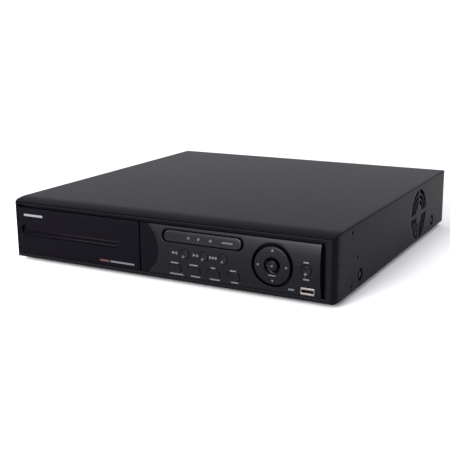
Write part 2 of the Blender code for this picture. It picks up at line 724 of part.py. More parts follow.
def build_key_board():
    """Circuit board behind the bezel, with a push switch in line with each stem."""
    board = make("key_board", box((CONTROL_X0 + 12, CONTROL_X1 - 4), (BOARD_Y, BOARD_Y + BOARD_T),
                                  (PANEL_Z0 + 0.6, PANEL_Z1 - 1)), BOARD_GREEN)
    switches, plungers = [], []
    for x, z, _ in round_places() + key_places():
        switches.append(box((x - 3, x + 3), (BOARD_Y - 0.9, BOARD_Y + 0.5), (z - 3, z + 3)))
        top = STEM_END_Y + KEY_TRAVEL + 0.15
        plungers.append(rod("Y", (x, z), 1.6, top, BOARD_Y, 8))
    join(board, combine(*switches))
    join(board, combine(*plungers))


# ---------------------------------------------------------------- disc drive
def build_disc_drive():
    """Slim disc drive: case, lid, sliding tray with its front, and the spindle."""
    x0 = TRAY_X - DRIVE_W / 2
    x1 = TRAY_X + DRIVE_W / 2
    y1 = DRIVE_Y + DRIVE_D
    lid_z = DRIVE_Z + DRIVE_H - DRIVE_SHEET
    case = make("disc_drive_case", box((x0, x1), (DRIVE_Y, y1), (DRIVE_Z, lid_z - GAP)), ZINC)
    inner_x = (x0 + DRIVE_SHEET, x1 - DRIVE_SHEET)
    carve(case, box(inner_x, (DRIVE_Y - 1, y1 - DRIVE_SHEET), (DRIVE_Z + DRIVE_SHEET, lid_z + 1)))
    make("disc_drive_lid", box((x0, x1), (DRIVE_Y, y1), (lid_z, lid_z + DRIVE_SHEET)), ZINC)
    front_y = PANEL_RECESS + 0.4
    tray_y = front_y + TRAY_FRONT_T + GAP
    tray_z = DRIVE_Z + DRIVE_SHEET + FIT
    origin = (TRAY_X, tray_y, tray_z)
    tray = make("disc_tray", box((TRAY_X - TRAY_W / 2, TRAY_X + TRAY_W / 2), (tray_y, tray_y + TRAY_LONG),
                                 (tray_z, tray_z + TRAY_T)), BLACK_PLASTIC, origin)
    hub_y = tray_y + 2.5 + DISC_WELL_R
    over = tray_z + TRAY_T + 1
    well_z = tray_z + TRAY_T - DISC_WELL_DEPTH
    carve(tray, rod("Z", (TRAY_X, hub_y), DISC_WELL_R, well_z, over, 36))
    carve(tray, rod("Z", (TRAY_X, hub_y), SPINDLE_R + 1, tray_z + TRAY_FLOOR, over, 24))
    seat = tray_z + TRAY_FLOOR + GAP
    profile = [(SPINDLE_R, seat), (SPINDLE_R, seat + 2.4), (SPINDLE_R - 1, seat + 2.7), (4.2, seat + 2.7),
               (3.6, seat + 4.2)]
    spindle = turned("Z", (TRAY_X, hub_y), profile, 24)
    make("disc_spindle", spindle, ZINC, (TRAY_X, hub_y, seat), smooth=True)
    outline = rounded((TRAY_X, TRAY_Z), TRAY_FRONT_W, TRAY_FRONT_H, TRAY_FRONT_R)
    front = make("tray_front", prism("Y", outline, front_y, front_y + TRAY_FRONT_T), GLOSS_BLACK, origin)
    top = TRAY_Z + TRAY_FRONT_H / 2
    low = TRAY_Z - TRAY_FRONT_H / 2
    scoop = [(front_y - 1, low + 1.8), (front_y, low + 1.8), (front_y + TRAY_FRONT_SCOOP, low + 3.6),
             (front_y + TRAY_FRONT_SCOOP, top + 1), (front_y - 1, top + 1)]
    carve(front, prism("X", scoop, TRAY_X - TRAY_FRONT_W, TRAY_X + TRAY_FRONT_W))


def build_brackets():
    """Folded brackets under the disc drive and the hard drive."""
    top = DRIVE_Z - GAP - SHEET / 2
    foot = SHEET * 1.5 + GAP
    half = DRIVE_W / 2 - 4
    path = [(TRAY_X - half + 9, foot), (TRAY_X - half, foot), (TRAY_X - half, top),
            (TRAY_X + half, top), (TRAY_X + half, foot), (TRAY_X + half - 9, foot)]
    make("disc_drive_bracket", folded("Y", path, SHEET, DRIVE_Y + 8, DRIVE_Y + DRIVE_D - 8), ZINC)
    x0, x1 = HDD_X
    top = HDD_Z - GAP - SHEET / 2
    path = [(x0 - 10, foot), (x0 - 2, foot), (x0 - 2, top), (x1 + 2, top), (x1 + 2, foot), (x1 + 10, foot)]
    make("hard_drive_bracket", folded("Y", path, SHEET, HDD_Y + 12, HDD_Y + HDD_D - 12), ZINC)


def build_hard_drive():
    """Sealed drive: a cast body with a stepped lid."""
    x0, x1 = HDD_X
    drive = make("hard_drive", box((x0, x1), (HDD_Y, HDD_Y + HDD_D), (HDD_Z, HDD_Z + HDD_H - 2)), CASTING)
    centre = ((x0 + x1) / 2, HDD_Y + HDD_D / 2)
    lid = rounded(centre, HDD_W - 8, HDD_D - 10, 12)
    join(drive, prism("Z", lid, HDD_Z + 2, HDD_Z + HDD_H))


# ---------------------------------------------------------------- boards, power and cooling
def build_main_board():
    """Main board with its chips, and the finned heat sink on the processor."""
    (x0, x1), (y0, y1) = MAIN_BOARD
    board = make("main_board", box((x0, x1), (y0, y1), (BOARD_Z, BOARD_Z + BOARD_T)), BOARD_GREEN)
    chips = [(x0 + 40, y0 + 40, 24, 24, 2), (x0 + 40, y0 + 90, 24, 24, 2), (x0 + 90, y0 + 28, 14, 20, 1.2),
             (x0 + 90, y0 + 108, 14, 20, 1.2), (x0 + 175, y0 + 40, 30, 12, 6),
             (x0 + 175, y0 + 110, 12, 30, 9)]
    top = BOARD_Z + BOARD_T
    sink_x, sink_y = x0 + 125, y0 + 70
    chips.append((sink_x, sink_y, 35, 35, PROCESSOR_T))
    join(board, combine(*[box((x - w / 2, x + w / 2), (y - d / 2, y + d / 2), (top - 0.8, top + h))
                          for x, y, w, d, h in chips]))
    base = top + PROCESSOR_T + GAP
    half = SINK_W / 2
    sink = make("heat_sink", box((sink_x - half, sink_x + half), (sink_y - half, sink_y + half),
                                 (base, base + SINK_H)), ALUMINIUM)
    slots = []
    for i in range(SINK_SLOTS):
        y = sink_y + (i - (SINK_SLOTS - 1) / 2) * SINK_W / SINK_SLOTS
        slots.append(box((sink_x - half - 1, sink_x + half + 1), (y - 1.4, y + 1.4),
                         (base + 3, base + SINK_H + 1)))
    carve(sink, combine(*slots))


def build_power_supply():
    """Open-frame supply: board, transformer, mains capacitor and the mains inlet."""
    (x0, x1), (y0, y1) = POWER_BOARD
    top = BOARD_Z + BOARD_T
    board = make("power_supply_board", box((x0, x1), (y0, y1), (BOARD_Z, top)), BOARD_GREEN)
    fins = [box((x0 + 12, x0 + 15), (y0 + 30, y0 + 100), (top - 0.8, top + 30)),
            box((x1 - 15, x1 - 12), (y0 + 50, y0 + 110), (top - 0.8, top + 30))]
    join(board, combine(*fins))
    x, y = x0 + 55, y0 + 62
    base = top + GAP
    core = make("transformer", box((x - 20, x + 20), (y - 17, y + 17), (base, base + 28)), ALUMINIUM)
    winding = rounded((x, y), 30, 44, 8, 4)
    join(core, prism("Z", winding, base + 4, base + 24))
    profile = [(10.5, base), (11, base + 0.8), (11, base + 28), (9.6, base + 30)]
    make("mains_capacitor", turned("Z", (x0 + 55, y0 + 112), profile, 24), BLACK_PLASTIC, smooth=True)
    build_inlet(LEFT + INLET_X)


def build_inlet(x):
    """Mains inlet: flanged shell with a hollow and three blades."""
    z = INLET_Z
    flange = prism("Y", rounded((x, z), 31, 24, 2, 3), REAR_Y + GAP, REAR_Y + 2.5)
    inlet = make("power_inlet", flange, BLACK_PLASTIC)
    join(inlet, prism("Y", rounded((x, z), INLET_W, INLET_H, 2, 3), REAR_Y - 17, REAR_Y + 1))
    hollow = [(x - 12, z - 8), (x + 12, z - 8), (x + 12, z + 4), (x + 8, z + 8), (x - 8, z + 8),
              (x - 12, z + 4)]
    carve(inlet, prism("Y", hollow, REAR_Y - 15, REAR_Y + 4))
    blades = [box((x + dx - 1, x + dx + 1), (REAR_Y - 16, REAR_Y + 0.5), (z + dz - 2, z + dz + 2))
              for dx, dz in ((-7, -2), (7, -2), (0, 2))]
    join(inlet, combine(*blades))


def build_fan():
    """Axial fan against the right side: a square frame with spokes, and the rotor."""
    y, z = BODY_D - FAN_FROM_BACK, FAN_Z
    x1 = FLANGE_X - SHEET - GAP
    x0 = x1 - FAN_T
    frame = make("fan_frame", prism("X", rounded((y, z), FAN_SIZE, FAN_SIZE, 4, 4), x0, x1), BLACK_PLASTIC)
    carve(frame, rod("X", (y, z), FAN_BORE_R, x0 + 2.5, x1 + 1, 32))
    openings = []
    for quadrant in range(4):
        start = 45 + 90 * quadrant
        near = math.degrees(math.asin(2.0 / FAN_BORE_R))
        far = math.degrees(math.asin(2.0 / FAN_HUB_R))
        outline = arc((y, z), FAN_BORE_R - 0.4, start + near, start + 90 - near, 5)
        outline += arc((y, z), FAN_HUB_R, start + 90 - far, start + far, 3)
        openings.append(prism("X", outline, x0 - 1, x0 + 4))
    carve(frame, combine(*openings))
    hub = [(FAN_HUB_R - 0.6, x0 + 3.2), (FAN_HUB_R, x0 + 3.8), (FAN_HUB_R, x1 - 1.2),
           (FAN_HUB_R - 1, x1 - 0.6)]
    rotor = make("fan_rotor", turned("X", (y, z), hub, 21), BLACK_PLASTIC, (x0, y, z), smooth=True)
    turns = [360 * i / FAN_BLADES for i in range(FAN_BLADES)]
    join(rotor, combine(*[fan_blade(y, z, x0 + 4, x1 - 1.4, turn) for turn in turns]))


def fan_blade(y, z, x0, x1, turn):
    """One twisted blade from inside the hub to the tip."""
    rings = []
    for r in np.linspace(FAN_HUB_R - 1.5, FAN_BORE_R - FAN_TIP_CLEAR, 2):
        section = []
        for x, swing in ((x0, -14.0), (x0 + 1.1, -17.0), (x1, 13.0), (x1 - 1.1, 16.0)):
            a = math.radians(turn + swing)
            section.append((x, y + r * math.cos(a), z + r * math.sin(a)))
        rings.append(section)
    return loft(rings)


# ---------------------------------------------------------------- back
def bnc_places():
    """x and z of the video sockets."""
    return [(LEFT + BNC_X + i * BNC_PITCH, z) for z in BNC_ROWS for i in range(BNC_COLUMNS)]


def rca_places():
    """x and z of the audio sockets."""
    return [(LEFT + RCA_X + i * RCA_PITCH, z) for z in RCA_ROWS for i in range(2)]


def build_rear_panel():
    """Flat back panel with a cut-out for each connector."""
    inner = SHEET + GAP
    panel = make("rear_panel", box((LEFT + inner, RIGHT - inner), (REAR_INSIDE, REAR_Y),
                                   (COVER_SKIRT_Z, BODY_H - inner)), PAINT)
    span = (REAR_INSIDE - 2, REAR_Y + 2)
    cuts = [rod("Y", place, BNC_R + FIT, *span, 12) for place in bnc_places()]
    cuts += [rod("Y", place, RCA_R + FIT, *span, 12) for place in rca_places()]
    inlet = rounded((LEFT + INLET_X, INLET_Z), INLET_W + 2 * FIT, INLET_H + 2 * FIT, 2, 3)
    cuts.append(prism("Y", inlet, *span))
    for x, z, w, h in ((MONITOR_X, MONITOR_Z, 18.2, 9.4), (MONITOR_X, NETWORK_Z, 16.8, 14.3),
                       (TERMINAL_X, NETWORK_Z, 30.8, 12.8)):
        cuts.append(prism("Y", rounded((LEFT + x, z), w, h, 0.5, 2), *span))
    carve(panel, combine(*cuts))


def build_connectors():
    """Video, audio, monitor, network and alarm connectors, standing on the main board."""
    inside = REAR_INSIDE - GAP
    out = REAR_Y + PORT_PROUD
    foot = BOARD_Z + BOARD_T + GAP
    xs = (LEFT + BNC_X - 10, LEFT + BNC_X + (BNC_COLUMNS - 1) * BNC_PITCH + 10)
    video = make("video_input_block", box(xs, (inside - 14, inside), (foot, BNC_ROWS[1] + 10)), CASTING)
    join(video, combine(*[rod("Y", place, BNC_R, inside - 1, out, 12) for place in bnc_places()]))
    bore = BNC_R - 0.8
    carve(video, combine(*[rod("Y", place, bore, REAR_Y - 3, out + 1, 12) for place in bnc_places()]))
    join(video, combine(*[rod("Y", place, 2.3, REAR_Y - 4, out - 2, 6) for place in bnc_places()]))
    xs = (LEFT + RCA_X - 8, LEFT + RCA_X + RCA_PITCH + 8)
    audio = make("audio_block", box(xs, (inside - 12, inside), (foot, RCA_ROWS[1] + 8)), BLACK_PLASTIC)
    join(audio, combine(*[rod("Y", place, RCA_R, inside - 1, out - 0.5, 12) for place in rca_places()]))
    carve(audio, combine(*[rod("Y", place, 1.6, REAR_Y - 4, out + 1, 6) for place in rca_places()]))
    x = LEFT + MONITOR_X
    plate = box((x - 15.4, x + 15.4), (inside - 1, inside), (foot + 19, MONITOR_Z + 6.2))
    monitor = make("monitor_port", plate, NICKEL)
    join(monitor, prism("Y", d_outline(x, MONITOR_Z, 0), inside - 10, out - 3.5))
    carve(monitor, prism("Y", d_outline(x, MONITOR_Z, 0.5), REAR_Y - 2, out))
    join(monitor, prism("Y", d_outline(x, MONITOR_Z, 1.1), REAR_Y - 3, out - 4))
    jack = make("network_jack", box((x - 8, x + 8), (REAR_Y - 17, inside), (foot, NETWORK_Z + 6.8)), NICKEL)
    join(jack, box((x - 7.9, x + 7.9), (inside - 2, REAR_Y + 1), (NETWORK_Z - 6.7, NETWORK_Z + 6.7)))
    carve(jack, box((x - 6, x + 6), (REAR_Y - 11, REAR_Y + 2), (NETWORK_Z - 4.6, NETWORK_Z + 3.8)))
    x = LEFT + TERMINAL_X
    body = box((x - 15, x + 15), (REAR_Y - 12, inside), (foot, NETWORK_Z + 6))
    block = make("alarm_terminal_block", body, TERMINAL_GREEN)
    join(block, box((x - 14.9, x + 14.9), (inside - 2, out - 1), (NETWORK_Z - 5.9, NETWORK_Z + 5.9)))
    poles = [x + (i - (TERMINAL_POLES - 1) / 2) * TERMINAL_PITCH for i in range(TERMINAL_POLES)]
    cages = [box((pole - 1.3, pole + 1.3), (out - 7, out), (NETWORK_Z - 2, NETWORK_Z + 1)) for pole in poles]
    screws = [rod("Z", (pole, out - 5), 1.3, NETWORK_Z + 3.5, NETWORK_Z + 8, 6) for pole in poles]
    carve(block, combine(*cages))
    carve(block, combine(*screws))


def d_outline(x, z, inset):
    """D-shaped outline of the monitor port, wider at the top."""
    return [(x - 8.4 + inset, z + 4.1 - inset), (x - 7.2 + inset, z - 4.1 + inset),
            (x + 7.2 - inset, z - 4.1 + inset), (x + 8.4 - inset, z + 4.1 - inset)]


def build_cables():
    """Flat cables from the main board to the key board and to the hard drive."""
    y_board = MAIN_BOARD[1][0]
    end_z = BOARD_Z + BOARD_T + 0.4
    x = CONTROL_X0 + RIBBON_X
    front = BOARD_Y + BOARD_T + GAP + 0.6
    path = [(front, 36), (front, 3.2), (y_board - 8, 3.2), (y_board - 8, 16), (y_board + 6, 16),
            (y_board + 6, end_z)]
    make("front_ribbon", folded("X", path, 0.8, x, x + RIBBON_W), GREY_CABLE)
    x = (HDD_X[0] + HDD_X[1]) / 2
    y = HDD_Y + HDD_D + GAP
    path = [(y, HDD_Z + 7), (y + 10, HDD_Z + 7), (y + 10, 26), (y_board + 9, 26), (y_board + 9, end_z)]
    make("drive_cable", folded("X", path, 1.2, x + 8, x + 20), GREY_CABLE)


build_cover()
build_chassis()
build_feet_and_screws()
build_bezel()
build_fascia()
build_control_panel()
build_window()
build_buttons()
build_navigation()
build_usb()
build_key_board()
build_disc_drive()
build_brackets()
build_hard_drive()
build_main_board()
build_power_supply()
build_fan()
build_rear_panel()
build_connectors()
build_cables()
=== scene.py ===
# %% [markdown]
# # A digital video recorder, surface by surface
#
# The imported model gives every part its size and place. This lesson gives the parts you can see
# their finished surfaces: a powder-coated steel cover, a glossy left panel with a disc tray, and
# a crowned control panel. Flat and crowned panels share one idea, a sheet worked out in its own
# two coordinates and then placed in space, so most cells are short.

# %% Load the fixed frame
import math

import bmesh
import bpy
import numpy as np
from mathutils import Matrix, Vector
from mathutils.geometry import delaunay_2d_cdt


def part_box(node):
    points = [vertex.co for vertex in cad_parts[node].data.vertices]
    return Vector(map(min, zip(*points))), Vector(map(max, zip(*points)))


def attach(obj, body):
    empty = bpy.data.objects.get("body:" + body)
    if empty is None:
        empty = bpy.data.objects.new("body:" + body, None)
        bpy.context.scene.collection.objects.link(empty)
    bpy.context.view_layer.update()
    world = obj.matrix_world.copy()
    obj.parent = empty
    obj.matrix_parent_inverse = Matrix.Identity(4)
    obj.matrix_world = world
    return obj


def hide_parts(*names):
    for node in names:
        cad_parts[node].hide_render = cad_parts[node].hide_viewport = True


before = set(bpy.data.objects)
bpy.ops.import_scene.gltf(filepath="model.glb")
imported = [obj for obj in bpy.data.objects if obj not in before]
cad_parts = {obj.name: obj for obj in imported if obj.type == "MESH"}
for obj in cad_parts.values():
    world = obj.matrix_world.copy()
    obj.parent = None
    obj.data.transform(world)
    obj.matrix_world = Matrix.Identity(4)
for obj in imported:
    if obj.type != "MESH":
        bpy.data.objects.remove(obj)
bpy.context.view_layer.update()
MM = 0.001

# %% [markdown]
# ## Reading places from the frame
#
# Shapes are worked out in millimetres, because that is how such a case is drawn. `corners` gives
# a part's lowest and highest corner, and every edge below comes from those boxes.

# %% Edges of the case and its panels
def corners(node):
    """Lowest and highest corner of a part, in millimetres."""
    low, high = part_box(node)
    return np.array(low) / MM, np.array(high) / MM


COVER_LOW, COVER_HIGH = corners("top_cover")
BEZEL_LOW, BEZEL_HIGH = corners("front_bezel")
FASCIA_LOW, FASCIA_HIGH = corners("drive_fascia")
CONTROL_LOW, CONTROL_HIGH = corners("control_panel")
FRONT = BEZEL_LOW[1]
BACK = COVER_HIGH[1]
LEFT, RIGHT = COVER_LOW[0], COVER_HIGH[0]
FLOOR_Z = COVER_LOW[2] - 0.3
TOP = COVER_HIGH[2]
BODY_H = TOP - FLOOR_Z
FLAT = FASCIA_LOW[1]
PANEL_Z0, PANEL_Z1 = FASCIA_LOW[2], FASCIA_HIGH[2]
PANEL_MID = (PANEL_Z0 + PANEL_Z1) / 2
PANEL_HALF = (PANEL_Z1 - PANEL_Z0) / 2
CROWN = FLAT - CONTROL_LOW[1]
print("front plane", FRONT, "crown", round(CROWN, 2), "case height", round(BODY_H, 1))

# %% [markdown]
# ## Colours
#
# Colours are written as the hex values a designer would use on screen. Shaders want linear light,
# so one function converts them.

# %% Hex to linear colour
def linear(code, alpha=1.0):
    """Each channel c becomes c / 12.92 below 0.04045, else ((c + 0.055) / 1.055) to the power 2.4."""
    c = np.array([int(code[i:i + 2], 16) for i in (1, 3, 5)]) / 255
    rgb = np.where(c <= 0.04045, c / 12.92, ((c + 0.055) / 1.055) ** 2.4)
    return (*rgb.tolist(), alpha)


print("mid grey in linear light:", round(linear("#808080")[0], 3))

# %% [markdown]
# ## One helper for shader nodes
#
# A node is a kind, some settings and some inputs. An input that is given a socket is linked, and
# any other value is typed into it. `begin` starts each material from its plain values and the
# object's own coordinates, which stay with a part as it moves. A pattern's scale is one over its
# real size in metres. Noise rarely leaves the middle of its range, so only that part is stretched.

# %% Node helpers
NOISE = {"From Min": 0.3, "From Max": 0.7}
MIX_A, MIX_B, MIX_COLOR = 6, 7, 2


def feed(tree, node, inputs):
    """Give a node its inputs: a socket is linked, and any other value is typed in."""
    for key, value in inputs.items():
        if isinstance(value, bpy.types.NodeSocket):
            tree.links.new(value, node.inputs[key])
        else:
            node.inputs[key].default_value = value


def add(tree, kind, inputs, **settings):
    """Add one node to a tree with its settings, typed values and links."""
    node = tree.nodes.new(kind)
    for key, value in settings.items():
        setattr(node, key, value)
    feed(tree, node, inputs)
    return node


def begin(name, color, roughness, metallic=0.0):
    """New material: returns it with its tree, shader and object coordinates."""
    material = bpy.data.materials.new(name)
    material.use_nodes = True
    tree = material.node_tree
    shader = tree.nodes["Principled BSDF"]
    feed(tree, shader, {"Base Color": linear(color), "Roughness": roughness, "Metallic": metallic})
    return material, tree, shader, add(tree, "ShaderNodeTexCoord", {}).outputs["Object"]


print("helpers ready:", feed.__name__, add.__name__, begin.__name__)

# %% [markdown]
# ## Powder coat
#
# Powder coat is dry paint baked on steel. It melts into a skin with a faint orange peel, which
# breaks up reflections. It could be one flat roughness, but then a wide flat top looks like card.
# Noise bumps the surface instead, drawn 0.9 mm across, a little coarser than real so that it shows.

# %% Powder coat
def powder_coat():
    """Black satin powder coat: nearly black face on, and grey only at a shallow angle."""
    material, tree, shader, coords = begin("black_powder_coat", "#09090e", 0.32)
    peel = add(tree, "ShaderNodeTexNoise", {"Vector": coords, "Scale": 1 / (0.9 * MM), "Detail": 3.0})
    broad = add(tree, "ShaderNodeTexNoise", {"Vector": coords, "Scale": 1 / (60.0 * MM), "Detail": 2.0})
    tint = add(tree, "ShaderNodeMix", {"Factor": broad.outputs["Fac"], MIX_A: linear("#08080d"),
                                       MIX_B: linear("#0b0b11")}, data_type="RGBA")
    gloss = add(tree, "ShaderNodeMapRange", {"Value": peel.outputs["Fac"], "To Min": 0.28,
                                             "To Max": 0.36, **NOISE})
    bump = add(tree, "ShaderNodeBump", {"Height": peel.outputs["Fac"], "Distance": 0.03 * MM,
                                        "Strength": 0.4})
    feed(tree, shader, {"Base Color": tint.outputs[MIX_COLOR], "Roughness": gloss.outputs["Result"],
                        "Normal": bump.outputs["Normal"], "Specular IOR Level": 0.0165})
    return material


POWDER_COAT = powder_coat()
print("paint ready:", POWDER_COAT.name)

# %% [markdown]
# ## Moulded plastics and rubber
#
# ABS straight from a spark-eroded mould has a fine, sharp grain. Nylon is smoother and slightly
# waxy, and rubber is the dullest. All three are one recipe, a grain that changes both the gloss
# and the surface, with its size and roughness given for each.

# %% ABS, nylon and rubber
def moulded(name, color, grain_mm=0.5, roughness=0.4, level=0.06):
    """Plastic with the grain of its mould; level is how strongly it mirrors."""
    material, tree, shader, coords = begin(name, color, roughness)
    grain = add(tree, "ShaderNodeTexNoise", {"Vector": coords, "Scale": 1 / (grain_mm * MM), "Detail": 4.0})
    gloss = add(tree, "ShaderNodeMapRange", {"Value": grain.outputs["Fac"], "To Min": roughness - 0.06,
                                             "To Max": roughness + 0.08, **NOISE})
    bump = add(tree, "ShaderNodeBump", {"Height": grain.outputs["Fac"], "Distance": 0.02 * MM,
                                        "Strength": 0.5})
    feed(tree, shader, {"Roughness": gloss.outputs["Result"], "Normal": bump.outputs["Normal"],
                        "Specular IOR Level": level})
    return material


# Bezel and connector bodies: black, with soft grey edges.
BLACK_ABS = moulded("black_moulded_abs", "#08080c")
# Fan: glass-filled, so a touch greyer and coarser than the case.
FAN_PLASTIC = moulded("black_glass_filled_pbt", "#161618", 0.8, 0.5)
# Sliding tray: charcoal, seen only when it is out.
TRAY_PLASTIC = moulded("charcoal_moulded_abs", "#26262a")
# Insulators and sockets: opaque colours with a waxy sheen.
WHITE_NYLON = moulded("white_nylon", "#d9d8d2", 0.6, 0.45)
GREEN_NYLON = moulded("green_nylon", "#1f7a3c", 0.6, 0.45)
RED_NYLON = moulded("red_nylon", "#b3262c", 0.6, 0.45)
BLUE_NYLON = moulded("blue_nylon", "#27409a", 0.6, 0.45)
# Feet: dull and dusty-looking, with no highlight.
RUBBER = moulded("black_rubber", "#141414", 1.2, 0.75)
# Flat cables: an even mid grey.
GREY_PVC = moulded("grey_pvc", "#8d8e92", 1.0, 0.5)
print("moulded finishes ready")

# %% [markdown]
# ## Polished acrylic
#
# The left panel is polished black acrylic: a clear, deep black with faint wipe marks that show
# only in the highlights. The marks run sideways, so their noise is squeezed six times in height.

# %% Acrylic
def polished_acrylic(name, color, roughness=0.1, level=0.035):
    """Polished acrylic whose gloss varies along faint wipe marks 30 mm long."""
    material, tree, shader, coords = begin(name, color, roughness)
    stretched = add(tree, "ShaderNodeMapping", {"Vector": coords, "Scale": (1.0, 1.0, 6.0)})
    wipes = add(tree, "ShaderNodeTexNoise", {"Vector": stretched.outputs["Vector"],
                                             "Scale": 1 / (30.0 * MM), "Detail": 5.0})
    gloss = add(tree, "ShaderNodeMapRange", {"Value": wipes.outputs["Fac"], "To Min": roughness,
                                             "To Max": roughness + 0.08, **NOISE})
    feed(tree, shader, {"Roughness": gloss.outputs["Result"], "Specular IOR Level": level})
    return material


# Left panel and tray: the deepest black of the front.
GLOSS_BLACK = polished_acrylic("black_gloss_acrylic", "#060409")
# Dished caps: glossy enough to catch one bright spot each.
DISH_GLOSS = polished_acrylic("black_gloss_keycap", "#060608", 0.2, 0.12)
# Window: a smoky grey that hides the lamps behind it.
SMOKED = polished_acrylic("smoked_acrylic", "#0a0a0e", 0.22, 0.14)
print("acrylics ready")

# %% [markdown]
# ## Graphite lacquer
#
# The control panel is sprayed with a lacquer where tiny metal flakes lie in a clear binder, so it
# brightens wherever it leans towards the light. Cells of slightly different brightness stand for
# the flakes, drawn 0.45 mm across, far coarser than real, so that they can show at all.

# %% Lacquer
def graphite_lacquer():
    """Metal-flake lacquer: a cell pattern tints it, and a slow noise changes its gloss."""
    material, tree, shader, coords = begin("graphite_lacquer", "#07070b", 0.3)
    flakes = add(tree, "ShaderNodeTexVoronoi", {"Vector": coords, "Scale": 1 / (0.45 * MM)})
    tint = add(tree, "ShaderNodeMix", {"Factor": flakes.outputs["Color"], MIX_A: linear("#060609"),
                                       MIX_B: linear("#0a0a0e")}, data_type="RGBA")
    broad = add(tree, "ShaderNodeTexNoise", {"Vector": coords, "Scale": 1 / (25.0 * MM), "Detail": 2.0})
    gloss = add(tree, "ShaderNodeMapRange", {"Value": broad.outputs["Fac"], "To Min": 0.3,
                                             "To Max": 0.36, **NOISE})
    feed(tree, shader, {"Base Color": tint.outputs[MIX_COLOR], "Roughness": gloss.outputs["Result"],
                        "Specular IOR Level": 0.09})
    return material


LACQUER = graphite_lacquer()
print("lacquer ready:", LACQUER.name)

# %% [markdown]
# ## Plated and cast metals
#
# Plating is never quite even: zinc leaves dull spangles, and nickel a brighter, finer mottle. So
# every metal here is a full metal whose roughness follows a noise of its own spangle size.

# %% Metals
def plated(name, color, roughness, spangle_mm):
    """Metal with a mottled roughness and the faintest relief."""
    material, tree, shader, coords = begin(name, color, roughness, 1.0)
    mottle = add(tree, "ShaderNodeTexNoise", {"Vector": coords, "Scale": 1 / (spangle_mm * MM),
                                              "Detail": 3.0})
    gloss = add(tree, "ShaderNodeMapRange", {"Value": mottle.outputs["Fac"], "To Min": roughness - 0.08,
                                             "To Max": roughness + 0.1, **NOISE})
    bump = add(tree, "ShaderNodeBump", {"Height": mottle.outputs["Fac"], "Distance": 0.01 * MM,
                                        "Strength": 0.3})
    feed(tree, shader, {"Roughness": gloss.outputs["Result"], "Normal": bump.outputs["Normal"]})
    return material


# Brackets and drive: pale, dull sheet steel.
ZINC = plated("zinc_plated_steel", "#b9bbbd", 0.38, 6.0)
# Chassis and cover screws: the same plating passed black, so nothing shines through the vents.
BLACK_ZINC = plated("black_zinc_plating", "#1c1c1e", 0.42, 3.0)
# Socket barrels and shells: the brightest metal, slightly warm.
NICKEL = plated("nickel_plating", "#b5b0a9", 0.24, 4.0)
# USB socket: thin tinned sheet, greyer than nickel.
TIN = plated("tinned_steel", "#7c7674", 0.34, 1.5)
# Hard drive: a dull casting with a fine skin.
CASTING = plated("die_cast_zinc", "#b4b4b2", 0.45, 1.5)
# Contacts: small yellow glints.
GOLD = plated("gold_flash", "#d9b45a", 0.25, 2.0)
# Heat sink: dyed black, with a soft metallic edge.
BLACK_ANODISED = plated("black_anodised_aluminium", "#2a2a2c", 0.42, 1.0)
print("metals ready")

# %% [markdown]
# ## Circuit board and printing ink
#
# A circuit board is green solder mask over copper, and its tracks show as paler straight lines. A
# brick pattern draws them. Screen-printed ink is flat, dense and slightly uneven.

# %% Board and inks
def circuit_board():
    """Green solder mask with raised tracks, as bricks on a 12 mm scale with thin pale joints."""
    material, tree, shader, coords = begin("green_solder_mask", "#0e4a26", 0.3)
    tracks = add(tree, "ShaderNodeTexBrick", {"Vector": coords, "Scale": 1 / (12 * MM), "Mortar Size": 0.02,
                                              "Color1": linear("#0e4a26"), "Color2": linear("#10552c"),
                                              "Mortar": linear("#2b7a45")})
    bump = add(tree, "ShaderNodeBump", {"Height": tracks.outputs["Fac"], "Distance": 0.03 * MM,
                                        "Strength": 0.4})
    feed(tree, shader, {"Base Color": tracks.outputs["Color"], "Normal": bump.outputs["Normal"]})
    return material


def ink(name, color):
    """Screen-printed ink with a speckle 0.8 mm across in its gloss."""
    material, tree, shader, coords = begin(name, color, 0.55)
    speckle = add(tree, "ShaderNodeTexNoise", {"Vector": coords, "Scale": 1 / (0.8 * MM), "Detail": 2.0})
    gloss = add(tree, "ShaderNodeMapRange", {"Value": speckle.outputs["Fac"], "To Min": 0.5,
                                             "To Max": 0.65, **NOISE})
    feed(tree, shader, {"Roughness": gloss.outputs["Result"]})
    return material


BOARD_GREEN = circuit_board()
# Inks from the plainest to the faintest; on black even a mid grey reads as white.
WHITE_INK = ink("white_screen_ink", "#66666a")
PALE_INK = ink("grey_screen_ink", "#46464c")
FAINT_INK = ink("smoked_screen_ink", "#26262b")
RED_INK = ink("red_screen_ink", "#40080e")
print("board and inks ready")

# %% [markdown]
# ## From points to parts
#
# `piece` turns points and faces into a finished object. It merges doubled points, so poles and
# seams close, points the faces outwards, shades by angle, and tells the frame which body it rides
# on and which plain parts it stands for.

